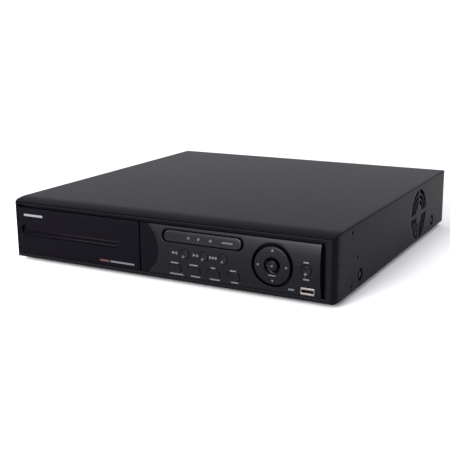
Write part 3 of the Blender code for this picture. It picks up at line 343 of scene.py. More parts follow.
# %% Making a piece
def piece(name, solids, body, material, nodes=(), sharp=28):
    """Object from a list of (points in mm, faces), riding on a body and standing for nodes."""
    points = np.concatenate([np.asarray(p, float).reshape(-1, 3) for p, _ in solids]) * MM
    starts = np.cumsum([0] + [len(np.asarray(p).reshape(-1, 3)) for p, _ in solids])
    faces = [tuple(int(i) + int(s) for i in face) for (_, fs), s in zip(solids, starts) for face in fs]
    mesh = bpy.data.meshes.new(name)
    mesh.from_pydata(points.tolist(), [], faces)
    bm = bmesh.new()
    bm.from_mesh(mesh)
    bmesh.ops.remove_doubles(bm, verts=bm.verts, dist=1e-6)
    bmesh.ops.dissolve_degenerate(bm, edges=bm.edges, dist=1e-7)
    bmesh.ops.recalc_face_normals(bm, faces=bm.faces)
    bm.to_mesh(mesh)
    bm.free()
    mesh.shade_smooth()
    mesh.set_sharp_from_angle(angle=math.radians(sharp))
    mesh.materials.append(material)
    obj = bpy.data.objects.new(name, mesh)
    bpy.context.scene.collection.objects.link(obj)
    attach(obj, body)
    if nodes:
        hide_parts(*nodes)
    print(name, len(mesh.polygons), "faces")
    return obj


# %% [markdown]
# ## Outlines that can grow
#
# Every outline is a function of an offset. Asked for 0 it gives the edge itself, and asked for a
# small offset it gives the same edge moved out by that much, with the same number of points. That
# is all a rounded edge needs: the rings between the two are the rounding.

# %% Outlines
SHARPEST = 0.02


def stadium(x, z, width, height, radius=None, steps=10):
    """Rectangle with round corners: quarter circles whose centres stand a radius in from the sides."""
    def outline(grow=0.0):
        r = max((height / 2 if radius is None else radius) + grow, SHARPEST)
        dx = max(width / 2 + grow - r, 0)
        dz = max(height / 2 + grow - r, 0)
        angle = np.radians(np.linspace(0, 90, steps + 1))
        turns = [angle + k * math.pi / 2 for k in range(4)]
        signs = ((1, 1), (-1, 1), (-1, -1), (1, -1))
        return np.concatenate([np.stack([x + sx * dx + r * np.cos(a), z + sz * dz + r * np.sin(a)], 1)
                               for (sx, sz), a in zip(signs, turns)])
    return outline


def circle(x, z, radius, steps=48):
    """Circle: cosine and sine of an angle, times the radius and what it grows by."""
    def outline(grow=0.0):
        a = np.linspace(0, 2 * math.pi, steps, endpoint=False)
        return np.stack([x + (radius + grow) * np.cos(a), z + (radius + grow) * np.sin(a)], 1)
    return outline


def quarter_slot(y, z, inner, outer, spoke, quadrant, steps=12):
    """Arc out and arc back, each ending where the spoke's half-width is the radius times the sine."""
    def outline(grow=0.0):
        r1, r0, half = outer + grow, inner - grow, spoke / 2 - grow
        near, far = math.asin(half / r1), math.asin(half / r0)
        a = quadrant * math.pi / 2 + np.linspace(near, math.pi / 2 - near, steps)
        b = quadrant * math.pi / 2 + np.linspace(math.pi / 2 - far, far, steps)
        angle = np.concatenate([a, b])
        r = np.repeat([r1, r0], steps)
        return np.stack([y + r * np.cos(angle), z + r * np.sin(angle)], 1)
    return outline


def frame_outline(x0, x1, z0, z1, steps=(60, 24)):
    """Rectangle with evenly spaced points along its sides, so that it can follow a curved surface."""
    def outline(grow=0.0):
        xs = np.linspace(x0 - grow, x1 + grow, steps[0] + 1)
        zs = np.linspace(z0 - grow, z1 + grow, steps[1] + 1)
        left = np.stack([np.full_like(zs, x0 - grow), zs], 1)
        right = np.stack([np.full_like(zs, x1 + grow), zs], 1)
        low = np.stack([xs, np.full_like(xs, z0 - grow)], 1)
        high = np.stack([xs, np.full_like(xs, z1 + grow)], 1)
        return np.concatenate([low[:-1], right[:-1], high[::-1][:-1], left[::-1][:-1]])
    return outline


print("points in a round corner:", len(stadium(0, 0, 10, 5)()))

# %% [markdown]
# ## The panel maker
#
# A moulded or pressed panel is a sheet with an outer edge and some holes. In its own flat
# coordinates the sheet is filled with triangles between those outlines. `place` then carries each
# flat point, at some depth, to its place in space, whether that is a flat plate, a crowned panel
# or a folded cover. Each edge gets a quarter-round, made of rings that move out as they go deeper.

# %% Which points lie inside
def inside(points, loop):
    """True for the points inside a closed outline, by counting the edges crossed to the right."""
    x, z = points[:, 0:1], points[:, 1:2]
    a, b = loop, np.roll(loop, -1, axis=0)
    crosses = (a[:, 1] > z) != (b[:, 1] > z)
    rise = np.where(b[:, 1] == a[:, 1], 1e-12, b[:, 1] - a[:, 1])
    meets = a[:, 0] + (z - a[:, 1]) / rise * (b[:, 0] - a[:, 0])
    return np.sum(crosses & (x < meets), axis=1) % 2 == 1


print("inside a circle:", inside(np.array([[0.0, 0.0], [9.0, 0.0]]), circle(0, 0, 5)()).tolist())


# %% Filling between outlines
def fill(loops, spare, lines=()):
    """Triangles between the first loop and the others, through the spare points and along the lines."""
    points = np.concatenate(loops + [spare, *lines])
    starts = np.cumsum([0] + [len(part) for part in [*loops, spare, *lines]])
    edges = []
    for s, loop in zip(starts, loops):
        edges += [(int(s + i), int(s + (i + 1) % len(loop))) for i in range(len(loop))]
    for s, line in zip(starts[len(loops) + 1:], lines):
        edges += [(int(s + i), int(s + i + 1)) for i in range(len(line) - 1)]
    verts, _, tris, origins, _, _ = delaunay_2d_cdt([Vector(p) for p in points], edges, [], 0, 1e-5)
    first = np.array([o[0] if o else -1 for o in origins])
    tris = np.array([t for t in tris if len(t) == 3])
    flat = np.array([tuple(v) for v in verts])
    centres = flat[tris].mean(axis=1)
    keep = inside(centres, loops[0])
    for loop in loops[1:]:
        keep &= ~inside(centres, loop)
    tris = first[tris[keep]]
    return points, tris[(tris >= 0).all(axis=1)]


print("triangles in a plain disc:", len(fill([circle(0, 0, 5)()], np.empty((0, 2)))[1]))


def lattice(xs, zs, loops, margin):
    """Grid points inside the first loop, outside the others, and clear of every edge."""
    grid = np.stack(np.meshgrid(xs, zs), -1).reshape(-1, 2)
    keep = inside(grid, loops[0])
    for loop in loops[1:]:
        keep &= ~inside(grid, loop)
    grid = grid[keep]
    for loop in loops:
        gap = np.sqrt(((grid[:, None] - loop[None]) ** 2).sum(-1)).min(axis=1)
        grid = grid[gap > margin]
    return grid


# %% A panel with rounded edges
def band(a, b):
    """Quads between two rings of point numbers."""
    return [tuple(q) for q in np.stack([a, np.roll(a, -1), np.roll(b, -1), b], 1)]


FILLET_TURNS = np.radians([22.5, 45, 67.5, 90])


def panel(outer, holes, place, thickness, fillet=0.4, step=6.0, extra=None, behind=None, lines=()):
    """Closed sheet: front triangles, a quarter-round and a wall at each edge, and a matching back."""
    behind = behind or (lambda flat: place(flat, thickness))
    outlines = [lambda g, o=outer: o(-g)] + [lambda g, h=h: h(g) for h in holes]
    front_loops = [o(fillet) for o in outlines]
    low, high = front_loops[0].min(0), front_loops[0].max(0)
    counts = np.maximum(np.ceil((high - low) / step).astype(int), 2)
    spare = lattice(np.linspace(low[0], high[0], counts[0] + 1), np.linspace(low[1], high[1], counts[1] + 1),
                    front_loops, step * 0.35)
    if extra is not None:
        near = np.sqrt(((spare[:, None] - extra[None]) ** 2).sum(-1)).min(axis=1)
        spare = np.concatenate([spare[near > step * 0.4], extra])
    flat, tris = fill(front_loops, spare, lines)
    back_flat = np.concatenate([o(0) for o in outlines] + [spare, *lines])
    total = len(flat)
    points = [place(flat, 0.0), behind(back_flat)]
    faces = [tuple(t) for t in tris] + [tuple(t[::-1] + total) for t in tris]
    start, used = 0, 2 * total
    for o in outlines:
        size = len(o(0))
        ring = np.arange(start, start + size)
        for turn in FILLET_TURNS:
            points.append(place(o(fillet * (1 - math.sin(turn))), fillet * (1 - math.cos(turn))))
            new = np.arange(used, used + size)
            used += size
            faces += band(ring, new)
            ring = new
        faces += band(ring, np.arange(total + start, total + start + size))
        start += size
    return np.concatenate(points), faces


print("rings in a rounded edge:", len(FILLET_TURNS))

# %% [markdown]
# ## Turned and lofted pieces
#
# Knobs, feet and sockets are turned: a profile of radius and place is carried round an axis. Other
# small parts are lofted: rings of points with the same count, joined one to the next.

# %% Turned and lofted shapes
def loft(rings):
    """Closed solid through an (m, n, 3) array of rings, with a fan of triangles on each end."""
    rings = np.asarray(rings, float)
    count, size = rings.shape[:2]
    points = np.concatenate([rings.reshape(-1, 3), rings[0].mean(0)[None], rings[-1].mean(0)[None]])
    faces = []
    for i in range(count - 1):
        faces += band(np.arange(i * size, (i + 1) * size), np.arange((i + 1) * size, (i + 2) * size))
    for end, ring in ((count * size, 0), (count * size + 1, count - 1)):
        i = np.arange(ring * size, (ring + 1) * size)
        faces += [tuple(t) for t in np.stack([i, np.roll(i, -1), np.full(size, end)], 1)]
    return points, faces


AXES = {"X": (1, 2, 0), "Y": (0, 2, 1), "Z": (0, 1, 2)}


def along(axis, flat, place):
    """Points with their two flat coordinates across an axis and their place along it."""
    u, v, t = AXES[axis]
    points = np.empty((len(flat), 3))
    points[:, u], points[:, v], points[:, t] = flat[:, 0], flat[:, 1], place
    return points


def soften(profile, radius=0.3, steps=4):
    """Round each inner corner of a line of points with a curve that starts radius away from it."""
    profile = np.asarray(profile, float)
    out = [profile[0]]
    for before, corner, after in zip(profile, profile[1:], profile[2:]):
        a, b = before - corner, after - corner
        la, lb = np.linalg.norm(a), np.linalg.norm(b)
        a, b = a / la * min(radius, la * 0.45), b / lb * min(radius, lb * 0.45)
        t = np.linspace(0, 1, steps + 1)[:, None]
        out += list(corner + a * (1 - t) ** 2 + b * t ** 2)
    return np.array(out + [profile[-1]])


def turned(axis, centre, profile, steps=48):
    """Profile of (radius, place along the axis) carried round it."""
    return loft([along(axis, circle(*centre, max(r, 1e-4), steps)(), t) for r, t in profile])


def block(low, high, radius=0.3):
    """Box with rounded upright edges and softened top and bottom."""
    low, high = np.asarray(low, float), np.asarray(high, float)
    mid, size = (low + high) / 2, high - low
    radius = min(radius, size.min() * 0.45)
    outline = stadium(mid[0], mid[1], size[0], size[1], radius, 3)
    angles = np.radians([90, 60, 30, 0])
    low_rings = [along("Z", outline(radius * (math.cos(a) - 1)), low[2] + radius * (1 - math.sin(a)))
                 for a in angles]
    high_rings = [along("Z", outline(radius * (math.cos(a) - 1)), high[2] - radius * (1 - math.sin(a)))
                  for a in angles[::-1]]
    return loft(low_rings + high_rings)


print("points of a turned pin:", len(turned("Y", (0, 0), [(1, 0), (1, 2)])[0]))

# %% [markdown]
# ## The top cover
#
# The cover is one sheet of 1 mm steel folded twice. It is easiest to draw unfolded: `s` runs up
# the left side, over the top and down the right, and `y` runs from front to back. `fold` carries
# that flat pattern to its folded place, and lowers the front of the top in a soft roll. The fan
# slots and the side slots are holes in the flat pattern, and the screw recesses are pressed in.

# %% Fold of the cover
SHEET = 1.0
BEND = 1.5
ROLL_DROP = 3.0
ROLL_DEPTH = 20.0
SIDE_TUCK = 2.6
TUCK_DEPTH = 6.4
WALL_S = TOP - BEND - COVER_LOW[2]
BEND_S = BEND * math.pi / 2
TOP_S = RIGHT - LEFT - 2 * BEND
COVER_S = 2 * WALL_S + 2 * BEND_S + TOP_S
SCREWS = {name: (corners(name)[0] + corners(name)[1]) / 2 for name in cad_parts
          if name.startswith("cover_screw")}


def fold(s):
    """Unfolded length to x, z and the outward direction: wall, bend, top, bend, wall."""
    s = np.asarray(s, float)
    mirrored = s > COVER_S / 2
    t = np.where(mirrored, COVER_S - s, s)
    angle = np.clip((t - WALL_S) / BEND, 0, math.pi / 2)
    x = LEFT + BEND * (1 - np.cos(angle)) + np.clip(t - WALL_S - BEND_S, 0, None)
    z = COVER_LOW[2] + np.clip(t, 0, WALL_S) + BEND * np.sin(angle)
    nx = -np.cos(angle)
    x = np.where(mirrored, LEFT + RIGHT - x, x)
    return x, z, np.where(mirrored, -nx, nx), np.sin(angle)


def cover_place(flat, depth):
    """Folded place of a flat point: inwards by its depth, rolled down and tucked in at the front."""
    x, z, nx, nz = fold(flat[:, 0])
    pressed = depth + dimple(flat)
    x = x - nx * pressed
    z = z - nz * pressed
    ahead = np.clip(1 - (flat[:, 1] - FRONT) / ROLL_DEPTH, 0, 1) ** 2
    z = z - ROLL_DROP * ahead * np.clip((z - FLOOR_Z) / BODY_H, 0, 1) ** 4
    tuck = SIDE_TUCK * np.clip(1 - (flat[:, 1] - FRONT) / TUCK_DEPTH, 0, 1) ** 2
    return np.stack([x * (1 - tuck / RIGHT), flat[:, 1], z], 1)


def side_s(x, z):
    """Unfolded length of a point on a side wall."""
    s = z - COVER_LOW[2]
    return s if x < 0 else COVER_S - s


DIMPLE_R = 6.3
DIMPLE_DEPTH = 1.6
DIMPLE_RIM = 0.7


def dimple(flat):
    """Depth of the screw recesses: flat in the middle, and a soft step up across the rim."""
    depth = np.zeros(len(flat))
    for centre in SCREWS.values():
        r = np.hypot(flat[:, 0] - side_s(centre[0], centre[2]), flat[:, 1] - centre[1])
        t = np.clip((DIMPLE_R + DIMPLE_RIM / 2 - r) / DIMPLE_RIM, 0, 1)
        depth += DIMPLE_DEPTH * t * t * (3 - 2 * t)
    return depth


print("unfolded width of the cover:", round(COVER_S, 1), "mm")

# %% Holes of the cover
FAN_LOW, FAN_HIGH = corners("fan_frame")
FAN_Y = (FAN_LOW[1] + FAN_HIGH[1]) / 2
FAN_Z = (FAN_LOW[2] + FAN_HIGH[2]) / 2
VENT_HUB_R = 12.0
VENT_SLOT = 4.4
VENT_PITCH = 6.3
VENT_SPOKE = 4.6
EAR_HOLES = ((40.9, 59.8), (56.0, 32.9), (39.8, 7.5))
EAR_HOLE_R = 1.5
SCREW_HOLE_R = 1.9
SLOT_COUNT = 9
SLOT_PITCH = 7.0
SLOT_LENGTH, SLOT_WIDTH = 26.0, 3.0
BENDS = WALL_S + BEND_S * np.linspace(0, 1, 6)


def swapped(outline):
    """Outline drawn in y and z, moved to the cover's flat coordinates on the right side."""
    def moved(grow=0.0):
        y, z = outline(grow).T
        return np.stack([COVER_S - (z - COVER_LOW[2]), y], 1)[::-1]
    return moved


def cover_edge(grow=0.0):
    """Outer edge of the flat pattern, with points where each fold line meets it."""
    half_top = WALL_S + BEND_S + TOP_S * np.linspace(0.02, 0.49, 24)
    s = np.concatenate([np.linspace(0, WALL_S - 2, 20), BENDS, half_top])
    s = np.concatenate([s, COVER_S - s[::-1]])
    s = np.where(s == 0, -grow, np.where(s == COVER_S, COVER_S + grow, s))
    y = np.concatenate([[0.02, 0.06, 0.12, 0.2], np.linspace(0.03, 0.97, 26) ** 0.9])
    y = FRONT + np.sort(y[y > 0.01]) * (BACK - FRONT)
    front = np.stack([s, np.full(len(s), FRONT - grow)], 1)
    rear = np.stack([s[::-1], np.full(len(s), BACK + grow)], 1)
    right = np.stack([np.full(len(y), COVER_S + grow), y], 1)
    left = np.stack([np.full(len(y), -grow), y[::-1]], 1)
    return np.concatenate([front, right, rear, left])


holes = []
for ring in range(3):
    inner = VENT_HUB_R + ring * VENT_PITCH
    for quadrant in range(4):
        holes.append(swapped(quarter_slot(FAN_Y, FAN_Z, inner, inner + VENT_SLOT, VENT_SPOKE, quadrant)))
for y, z in EAR_HOLES:
    for x in (LEFT, RIGHT):
        holes.append(circle(side_s(x, FLOOR_Z + z), FRONT + y, EAR_HOLE_R, 20))
for i in range(SLOT_COUNT):
    y = FAN_Y + (i - (SLOT_COUNT - 1) / 2) * SLOT_PITCH
    holes.append(stadium(side_s(LEFT, FAN_Z), y, SLOT_LENGTH, SLOT_WIDTH, 1.45, 4))
for centre in SCREWS.values():
    holes.append(circle(side_s(centre[0], centre[2]), centre[1], SCREW_HOLE_R, 24))
print("holes in the cover:", len(holes))

# %% [markdown]
# ## Where the sheet needs points
#
# A flat sheet needs few points, and a curved one needs them where it curves. So rows of points
# follow the rolled front edge and the tucked sides, rings stand round each recess, and lines run
# along the bends, so that the fold comes out as an even curve.

# %% Cover sheet
rings = [circle(side_s(c[0], c[2]), c[1], DIMPLE_R + g, 40)() for c in SCREWS.values()
         for g in (-0.5, -0.35, -0.17, 0.0, 0.17, 0.35, 0.6)]
rows = np.concatenate([FRONT + ROLL_DEPTH * np.linspace(0.04, 1, 16), np.linspace(FRONT + 28, BACK - 2, 24)])
columns = np.linspace(WALL_S + BEND_S + 8, COVER_S - WALL_S - BEND_S - 8, 40)
across = np.stack(np.meshgrid(columns, rows[:17]), -1).reshape(-1, 2)
sides = np.concatenate([np.linspace(4, WALL_S - 4, 7), COVER_S - np.linspace(4, WALL_S - 4, 7)])
front_rows = FRONT + TUCK_DEPTH * np.array([0.1, 0.22, 0.36, 0.52, 0.74, 1.0])
upright = np.stack(np.meshgrid(sides, front_rows), -1).reshape(-1, 2)
folds = [np.stack([np.full(len(rows), s), rows], 1) for s in np.concatenate([BENDS, COVER_S - BENDS])]
piece("cover_sheet", [panel(cover_edge, holes, cover_place, SHEET, 0.2, 7.0,
                            np.concatenate(rings + [across, upright]), lines=folds)],
      "case", POWDER_COAT, ["top_cover"])

# %% [markdown]
# ## The front bezel
#
# One black moulding frames the front. Its upper and lower lips catch the light as thin lines, and
# the groove under the upper lip stays dark. The frame is a thick panel with one large opening, and
# a wall behind the opening carries the two panels.

# %% Bezel
END_CAP_W = 5.0
END_STRIP_W = 10.0
LIP_BOTTOM = 4.6
LIP_TOP = 2.0
WALL_Y = FRONT + 5.6
WALL_T = 2.0
INSET = 0.02


def flat_place(y, crowned=None):
    """Place flat x, z points on an upright plane, or on a surface that varies from it."""
    def place(flat, depth):
        base = y if crowned is None else crowned(flat)
        return np.stack([flat[:, 0], base + depth + np.zeros(len(flat)), flat[:, 1]], 1)
    return place


TRAY_LOW, TRAY_HIGH = corners("tray_front")
TRAY_X, TRAY_Z = (TRAY_LOW[0] + TRAY_HIGH[0]) / 2, (TRAY_LOW[2] + TRAY_HIGH[2]) / 2
TRAY_W, TRAY_H = TRAY_HIGH[0] - TRAY_LOW[0], TRAY_HIGH[2] - TRAY_LOW[2]
pocket = (LEFT + END_CAP_W, RIGHT - END_STRIP_W, FLOOR_Z + LIP_BOTTOM, BEZEL_HIGH[2] - LIP_TOP)
bezel_edge = frame_outline(BEZEL_LOW[0], BEZEL_HIGH[0], BEZEL_LOW[2], BEZEL_HIGH[2], (70, 20))
bezel_hole = frame_outline(*pocket, (70, 20))
rim = panel(bezel_edge, [bezel_hole], flat_place(FRONT), WALL_Y - FRONT, 0.6, 6.0)
drive_hole = stadium(TRAY_X, TRAY_Z, TRAY_W - 2, TRAY_H + 0.4, 0.5, 3)
wall_edge = frame_outline(BEZEL_LOW[0] + INSET, BEZEL_HIGH[0] - INSET,
                          BEZEL_LOW[2] + INSET, BEZEL_HIGH[2] - INSET, (40, 12))
wall = panel(wall_edge, [drive_hole], flat_place(WALL_Y), WALL_T, 0.1, 12.0)
piece("bezel_frame", [rim, wall], "case", BLACK_ABS, ["front_bezel"])

# %% [markdown]
# ## The left panel and the tray front
#
# The left panel is flat, glossy and plain, apart from the long opening for the disc tray. The tray
# front fills it, scooped back under its upper edge so that a finger can reach it, and its lower
# edge stays forward as a ledge that catches the light.

# %% Left panel and tray front
TRAY_GAP = 0.4
TRAY_CORNER = 4.5
SCOOP_DEPTH, SCOOP_RISE, LEDGE_H = 2.4, 6.0, 0.8
opening = stadium(TRAY_X, TRAY_Z, TRAY_W + 2 * TRAY_GAP, TRAY_H + 2 * TRAY_GAP, TRAY_CORNER)
left_edge = frame_outline(FASCIA_LOW[0], FASCIA_HIGH[0], PANEL_Z0, PANEL_Z1, (50, 18))
piece("left_panel", [panel(left_edge, [opening], flat_place(FLAT), FASCIA_HIGH[1] - FLAT, 0.5, 5.0)],
      "case", GLOSS_BLACK, ["drive_fascia"])


def smooth(t):
    """Soft step from 0 to 1: t squared times 3 less 2 t."""
    t = np.clip(t, 0, 1)
    return t * t * (3 - 2 * t)


def scoop(flat):
    """Tray front: a ledge along the bottom, then a soft slope back to the scooped face."""
    rise = flat[:, 1] - TRAY_LOW[2]
    return TRAY_LOW[1] + SCOOP_DEPTH * smooth((rise - LEDGE_H) / SCOOP_RISE)


tray_edge = stadium(TRAY_X, TRAY_Z, TRAY_W, TRAY_H, TRAY_CORNER)
piece("tray_face", [panel(tray_edge, [], flat_place(0, scoop), 3.4, 0.3, 1.0,
                          behind=lambda flat: flat_place(TRAY_HIGH[1])(flat, 0.0))],
      "disc_tray", GLOSS_BLACK, ["tray_front"])

# %% [markdown]
# ## The crowned control panel
#
# Seen from above, the control panel steps forward from the left panel's plane along a curve. Its
# face is a shallow parabola from top to bottom: the upper half leans towards the light and the
# lower half away from it. The round cut-outs leave dark gaps round the ring and the window. Along
# the curve the lacquer gives way to the left panel's gloss black, a darker strip that is painted shade
# beside the step.

# %% Places on the control panel
STEP_X = 9.5
STEP_BOW = 12.5
STEP_W = 2.6
KEY_PROUD = 0.7
RING_PROUD = 0.2
WINDOW_SUNK = 0.3
KEY_GAP = 0.35
ring_low, ring_high = corners("navigation_ring")
RING = (ring_low + ring_high) / 2
RING_R = (ring_high[0] - ring_low[0]) / 2
RING_GAP = 2.75
window_low, window_high = corners("indicator_window")
WINDOW = (window_low + window_high) / 2
WINDOW_W, WINDOW_H = window_high[0] - window_low[0], window_high[2] - window_low[2]
usb_low, usb_high = corners("usb_shell")
USB = (usb_low + usb_high) / 2
ROUND_KEYS = ("rewind_button", "play_button", "forward_button", "escape_button")
OVAL_KEYS = ("function_key_1", "function_key_2", "function_key_3", "function_key_4")
key_low, key_high = corners(OVAL_KEYS[0])
KEY_W, KEY_H = key_high[0] - key_low[0], key_high[2] - key_low[2]


def middle(node):
    """Centre of a part in x and z."""
    low, high = corners(node)
    return (low[0] + high[0]) / 2, (low[2] + high[2]) / 2


def radius(node):
    """Radius of a round part that faces the front."""
    low, high = corners(node)
    return (high[0] - low[0]) / 2


print("radius of the ring:", round(RING_R, 2), "of the play button:", round(radius("play_button"), 2))

# %% The crowned face
def crown(flat):
    """Crowned face: forward by CROWN at mid-height, back on the flat plane at both edges."""
    share = (flat[:, 1] - PANEL_MID) / PANEL_HALF
    return FLAT - CROWN * (1 - share ** 2)


def step_x(z):
    """Curved line where the crown begins."""
    return CONTROL_LOW[0] + STEP_X + STEP_BOW * (1 - ((z - PANEL_MID) / PANEL_HALF) ** 2)


def control_face(flat):
    """Flat plane left of the curved line, crown right of it, and a soft step between."""
    return FLAT + (crown(flat) - FLAT) * smooth((flat[:, 0] - step_x(flat[:, 1])) / STEP_W + 0.2)


print("crown at mid-height:", round(float(FLAT - crown(np.array([[0.0, PANEL_MID]]))[0]), 2), "mm forward")

# %% Holes of the control panel
cut = [circle(*middle(node), radius(node) + KEY_GAP, 40) for node in ROUND_KEYS]
cut += [stadium(*middle(node), KEY_W + 0.5, KEY_H + 0.5) for node in OVAL_KEYS]
cut.append(circle(RING[0], RING[2], RING_R + RING_GAP, 96))
cut.append(stadium(WINDOW[0], WINDOW[2], WINDOW_W + 5.0, WINDOW_H + 2.0))
cut.append(stadium(USB[0], USB[2], usb_high[0] - usb_low[0] + 0.9, usb_high[2] - usb_low[2] + 0.9, 1.0, 4))
print("holes in the control panel:", len(cut))

# %% Control panel
STEP_OFFSETS = (-0.8, -0.4, 0.4, 0.8, 1.2, 1.6, 2.0, 2.4)
levels = np.linspace(PANEL_Z0 + 0.9, PANEL_Z1 - 0.9, 60)
steps = np.concatenate([np.stack([step_x(levels) + off, levels], 1) for off in STEP_OFFSETS])
control_edge = frame_outline(CONTROL_LOW[0], CONTROL_HIGH[0], PANEL_Z0, PANEL_Z1, (70, 28))
control_back = flat_place(CONTROL_HIGH[1])
# The curve where the darker gloss black, painted shade beside the step, begins.
shade_strip_edge = np.stack([step_x(levels), levels], 1)
sheet = panel(control_edge, cut, flat_place(0, control_face), 4.0, 0.45, 2.6, steps,
              lambda flat: control_back(flat, 0.0), [shade_strip_edge])
control = piece("control_face", [sheet], "case", LACQUER, ["control_panel"])

# %% [markdown]
# ## The edge of the painted-shade strip
#
# The curve is a real line in the mesh, so each face lies wholly on one side of it. Faces to
# its left take a second, darker material, the left panel's gloss black, as painted shade beside the
# step. A painted mask could do the same, but it would blur with distance, while this edge stays crisp.

# %% Darker strip beside the lacquer, as painted shade
centres = np.empty(3 * len(control.data.polygons))
control.data.polygons.foreach_get("center", centres)
centres = centres.reshape(-1, 3) / MM
# Gloss black on the faces left of the curve: a darker sheet as painted shade beside the step.
control.data.materials.append(GLOSS_BLACK)
painted_shade_strip = centres[:, 0] < step_x(centres[:, 2])
control.data.polygons.foreach_set("material_index", painted_shade_strip.astype(np.int32))
print("faces left in bare gloss black beside the step:", int(painted_shade_strip.sum()))

# %% [markdown]
# ## Window, keys and buttons
#
# The window and the oval keys are cut from the same crown, so they follow it and sit a little
# below or above it. The round buttons are dished for a fingertip, which turns their shading round:
# dark above and bright below, the opposite of the panel.

# %% Window and oval keys
def crowned(outline, holes, lift, back, fillet, step):
    """Panel with a crowned face, lifted off the control panel's crown, and a flat back."""
    return panel(outline, holes, flat_place(0, lambda flat: crown(flat) - lift), 1.0, fillet, step,
                 behind=lambda flat: flat_place(back)(flat, 0.0))


window_edge = stadium(WINDOW[0], WINDOW[2], WINDOW_W, WINDOW_H)
piece("window_lens", [crowned(window_edge, [], -WINDOW_SUNK, window_high[1], 0.5, 2.0)],
      "case", SMOKED, ["indicator_window"])


KEY_BACK = WALL_Y - 1.1
STEM_R, CLIP_R, STEM_LAP = 2.2, 3.6, 0.5


def stem(node, back):
    """Round stem with a snap-in clip, from the key's back to its end."""
    x, z = middle(node)
    end = corners(node)[1][1]
    clip = WALL_Y + WALL_T + 0.3
    return turned("Y", (x, z), [(STEM_R, back), (STEM_R, clip), (CLIP_R, clip + 0.05), (STEM_R, clip + 0.9),
                                (STEM_R, end)], 24)


for node in OVAL_KEYS:
    shell = crowned(stadium(*middle(node), KEY_W, KEY_H), [], KEY_PROUD, KEY_BACK, 0.7, 1.6)
    piece(node + "_cap", [shell, stem(node, KEY_BACK - STEM_LAP)], node, LACQUER, [node])

# %% [markdown]
# ## Round buttons
#
# A dished button is a turned piece: its profile starts deep in the middle, rises as a parabola to
# the rim and rolls over into the side. Its stem reaches back through the wall to the key board,
# with a snap-in clip that keeps it in.

# %% Round buttons
DISH_DEPTH = 1.2
for node in ROUND_KEYS:
    face, r = corners(node)[0][1], radius(node)
    dish = [(q * (r - 0.7), face + DISH_DEPTH * (1 - q ** 2)) for q in np.linspace(0, 1, 12)]
    rim = [(r - 0.5, face + 0.02), (r - 0.2, face + 0.12), (r, face + 0.45), (r, KEY_BACK)]
    piece(node + "_cap", [turned("Y", middle(node), dish + rim), stem(node, KEY_BACK - STEM_LAP)],
          node.replace("_button", ""), DISH_GLOSS, [node])

# %% [markdown]
# ## Navigation ring and enter button
#
# The ring is cut from the crown like the window, with a round hole for the enter button. The wide
# gap round it leaves room for it to tilt. The enter button is turned, flat on top and softened at
# its edge.

# %% Navigation ring and enter button
HOLE_R = 8.15
RING_SKIRT = 2.6
ring_edge = circle(RING[0], RING[2], RING_R, 96)
ring_hole = circle(RING[0], RING[2], HOLE_R, 64)
piece("ring_face", [crowned(ring_edge, [ring_hole], RING_PROUD, ring_high[1] - RING_SKIRT, 1.0, 1.8)],
      "navigation_ring", LACQUER, ["navigation_ring"])
enter_low, enter_high = corners("enter_button")
ENTER_R = (enter_high[0] - enter_low[0]) / 2
cap = soften([(0, enter_low[1]), (ENTER_R * 0.6, enter_low[1] + 0.05), (ENTER_R, enter_low[1] + 0.5),
              (ENTER_R, KEY_BACK)], 0.7)
enter_cap = turned("Y", middle("enter_button"), cap)
piece("enter_button_cap", [enter_cap, stem("enter_button", KEY_BACK - STEM_LAP)], "enter", LACQUER,
      ["enter_button"])

# %% [markdown]
# ## Printing
#
# Labels are screen-printed. Here they are plain bars and the usual transport symbols. They could
# be painted into a texture, but thin patches of their own stay sharp from close up, so each mark
# is a flat outline laid on whatever surface it belongs to.

# %% Printed patches
def patches(name, outlines, surface, body, material, lift=0.05):
    """Thin convex patches lying on a surface given as y for flat x, z points."""
    solids = []
    for outline in outlines:
        y = surface(outline)
        solids.append(loft([np.stack([outline[:, 0], y + d, outline[:, 1]], 1) for d in (0.02, -lift)]))
    return piece(name, solids, body, material)


def bar(x, z, width, height):
    """Rectangle of ink with soft ends."""
    return stadium(x, z, width, height, min(width, height) * 0.3, 3)()


def arrow(x, z, size, turn):
    """Triangle that points along an angle in degrees."""
    a = np.radians(np.array([0, 125, 235]) + turn)
    return np.stack([x + size * np.cos(a), z + size * np.sin(a)], 1)


ARROW = 2.0


def rewind_marks(x, z):
    """Two arrows pointing left."""
    return [arrow(x - 2.2, z, ARROW, 180), arrow(x + 1.4, z, ARROW, 180)]


def play_marks(x, z):
    """An arrow pointing right and the two bars of a pause."""
    return [arrow(x - 1.6, z, ARROW, 0), bar(x + 1.4, z, 0.8, 3.0), bar(x + 2.9, z, 0.8, 3.0)]


def forward_marks(x, z):
    """Two arrows pointing right against a stop."""
    return [arrow(x - 2.6, z, ARROW, 0), arrow(x + 0.8, z, ARROW, 0), bar(x + 3.6, z, 1.6, 2.6)]


print("corners of a label:", len(bar(0, 0, 6, 1.5)))

# %% Labels of the control panel
ABOVE, BELOW = 6.1, -6.2
BARS_ABOVE = (9.0, 9.6, 5.0, 7.0)
BARS_BELOW = (15.6, 11.0, 11.2, 8.0)
labels = []
for node, marks, left in (("rewind_button", rewind_marks, 10.8), ("play_button", play_marks, 9.1),
                          ("forward_button", forward_marks, 11.1)):
    x, z = middle(node)
    labels += marks(x - left, z + 0.4)
for node, above, below in zip(OVAL_KEYS, BARS_ABOVE, BARS_BELOW):
    x, z = middle(node)
    labels.append(bar(x, z + ABOVE, above, 1.5))
    labels.append(bar(x + 0.6, z + BELOW, below, 1.6))
x, z = middle("escape_button")
labels += [bar(x, z + 8.0, 5.4, 1.3), bar(x, z - 8.4, 6.2, 1.5)]
labels.append(bar(USB[0] - 16.6, USB[2] - 0.5, 6.2, 1.8))
patches("control_labels", labels, control_face, "case", PALE_INK)

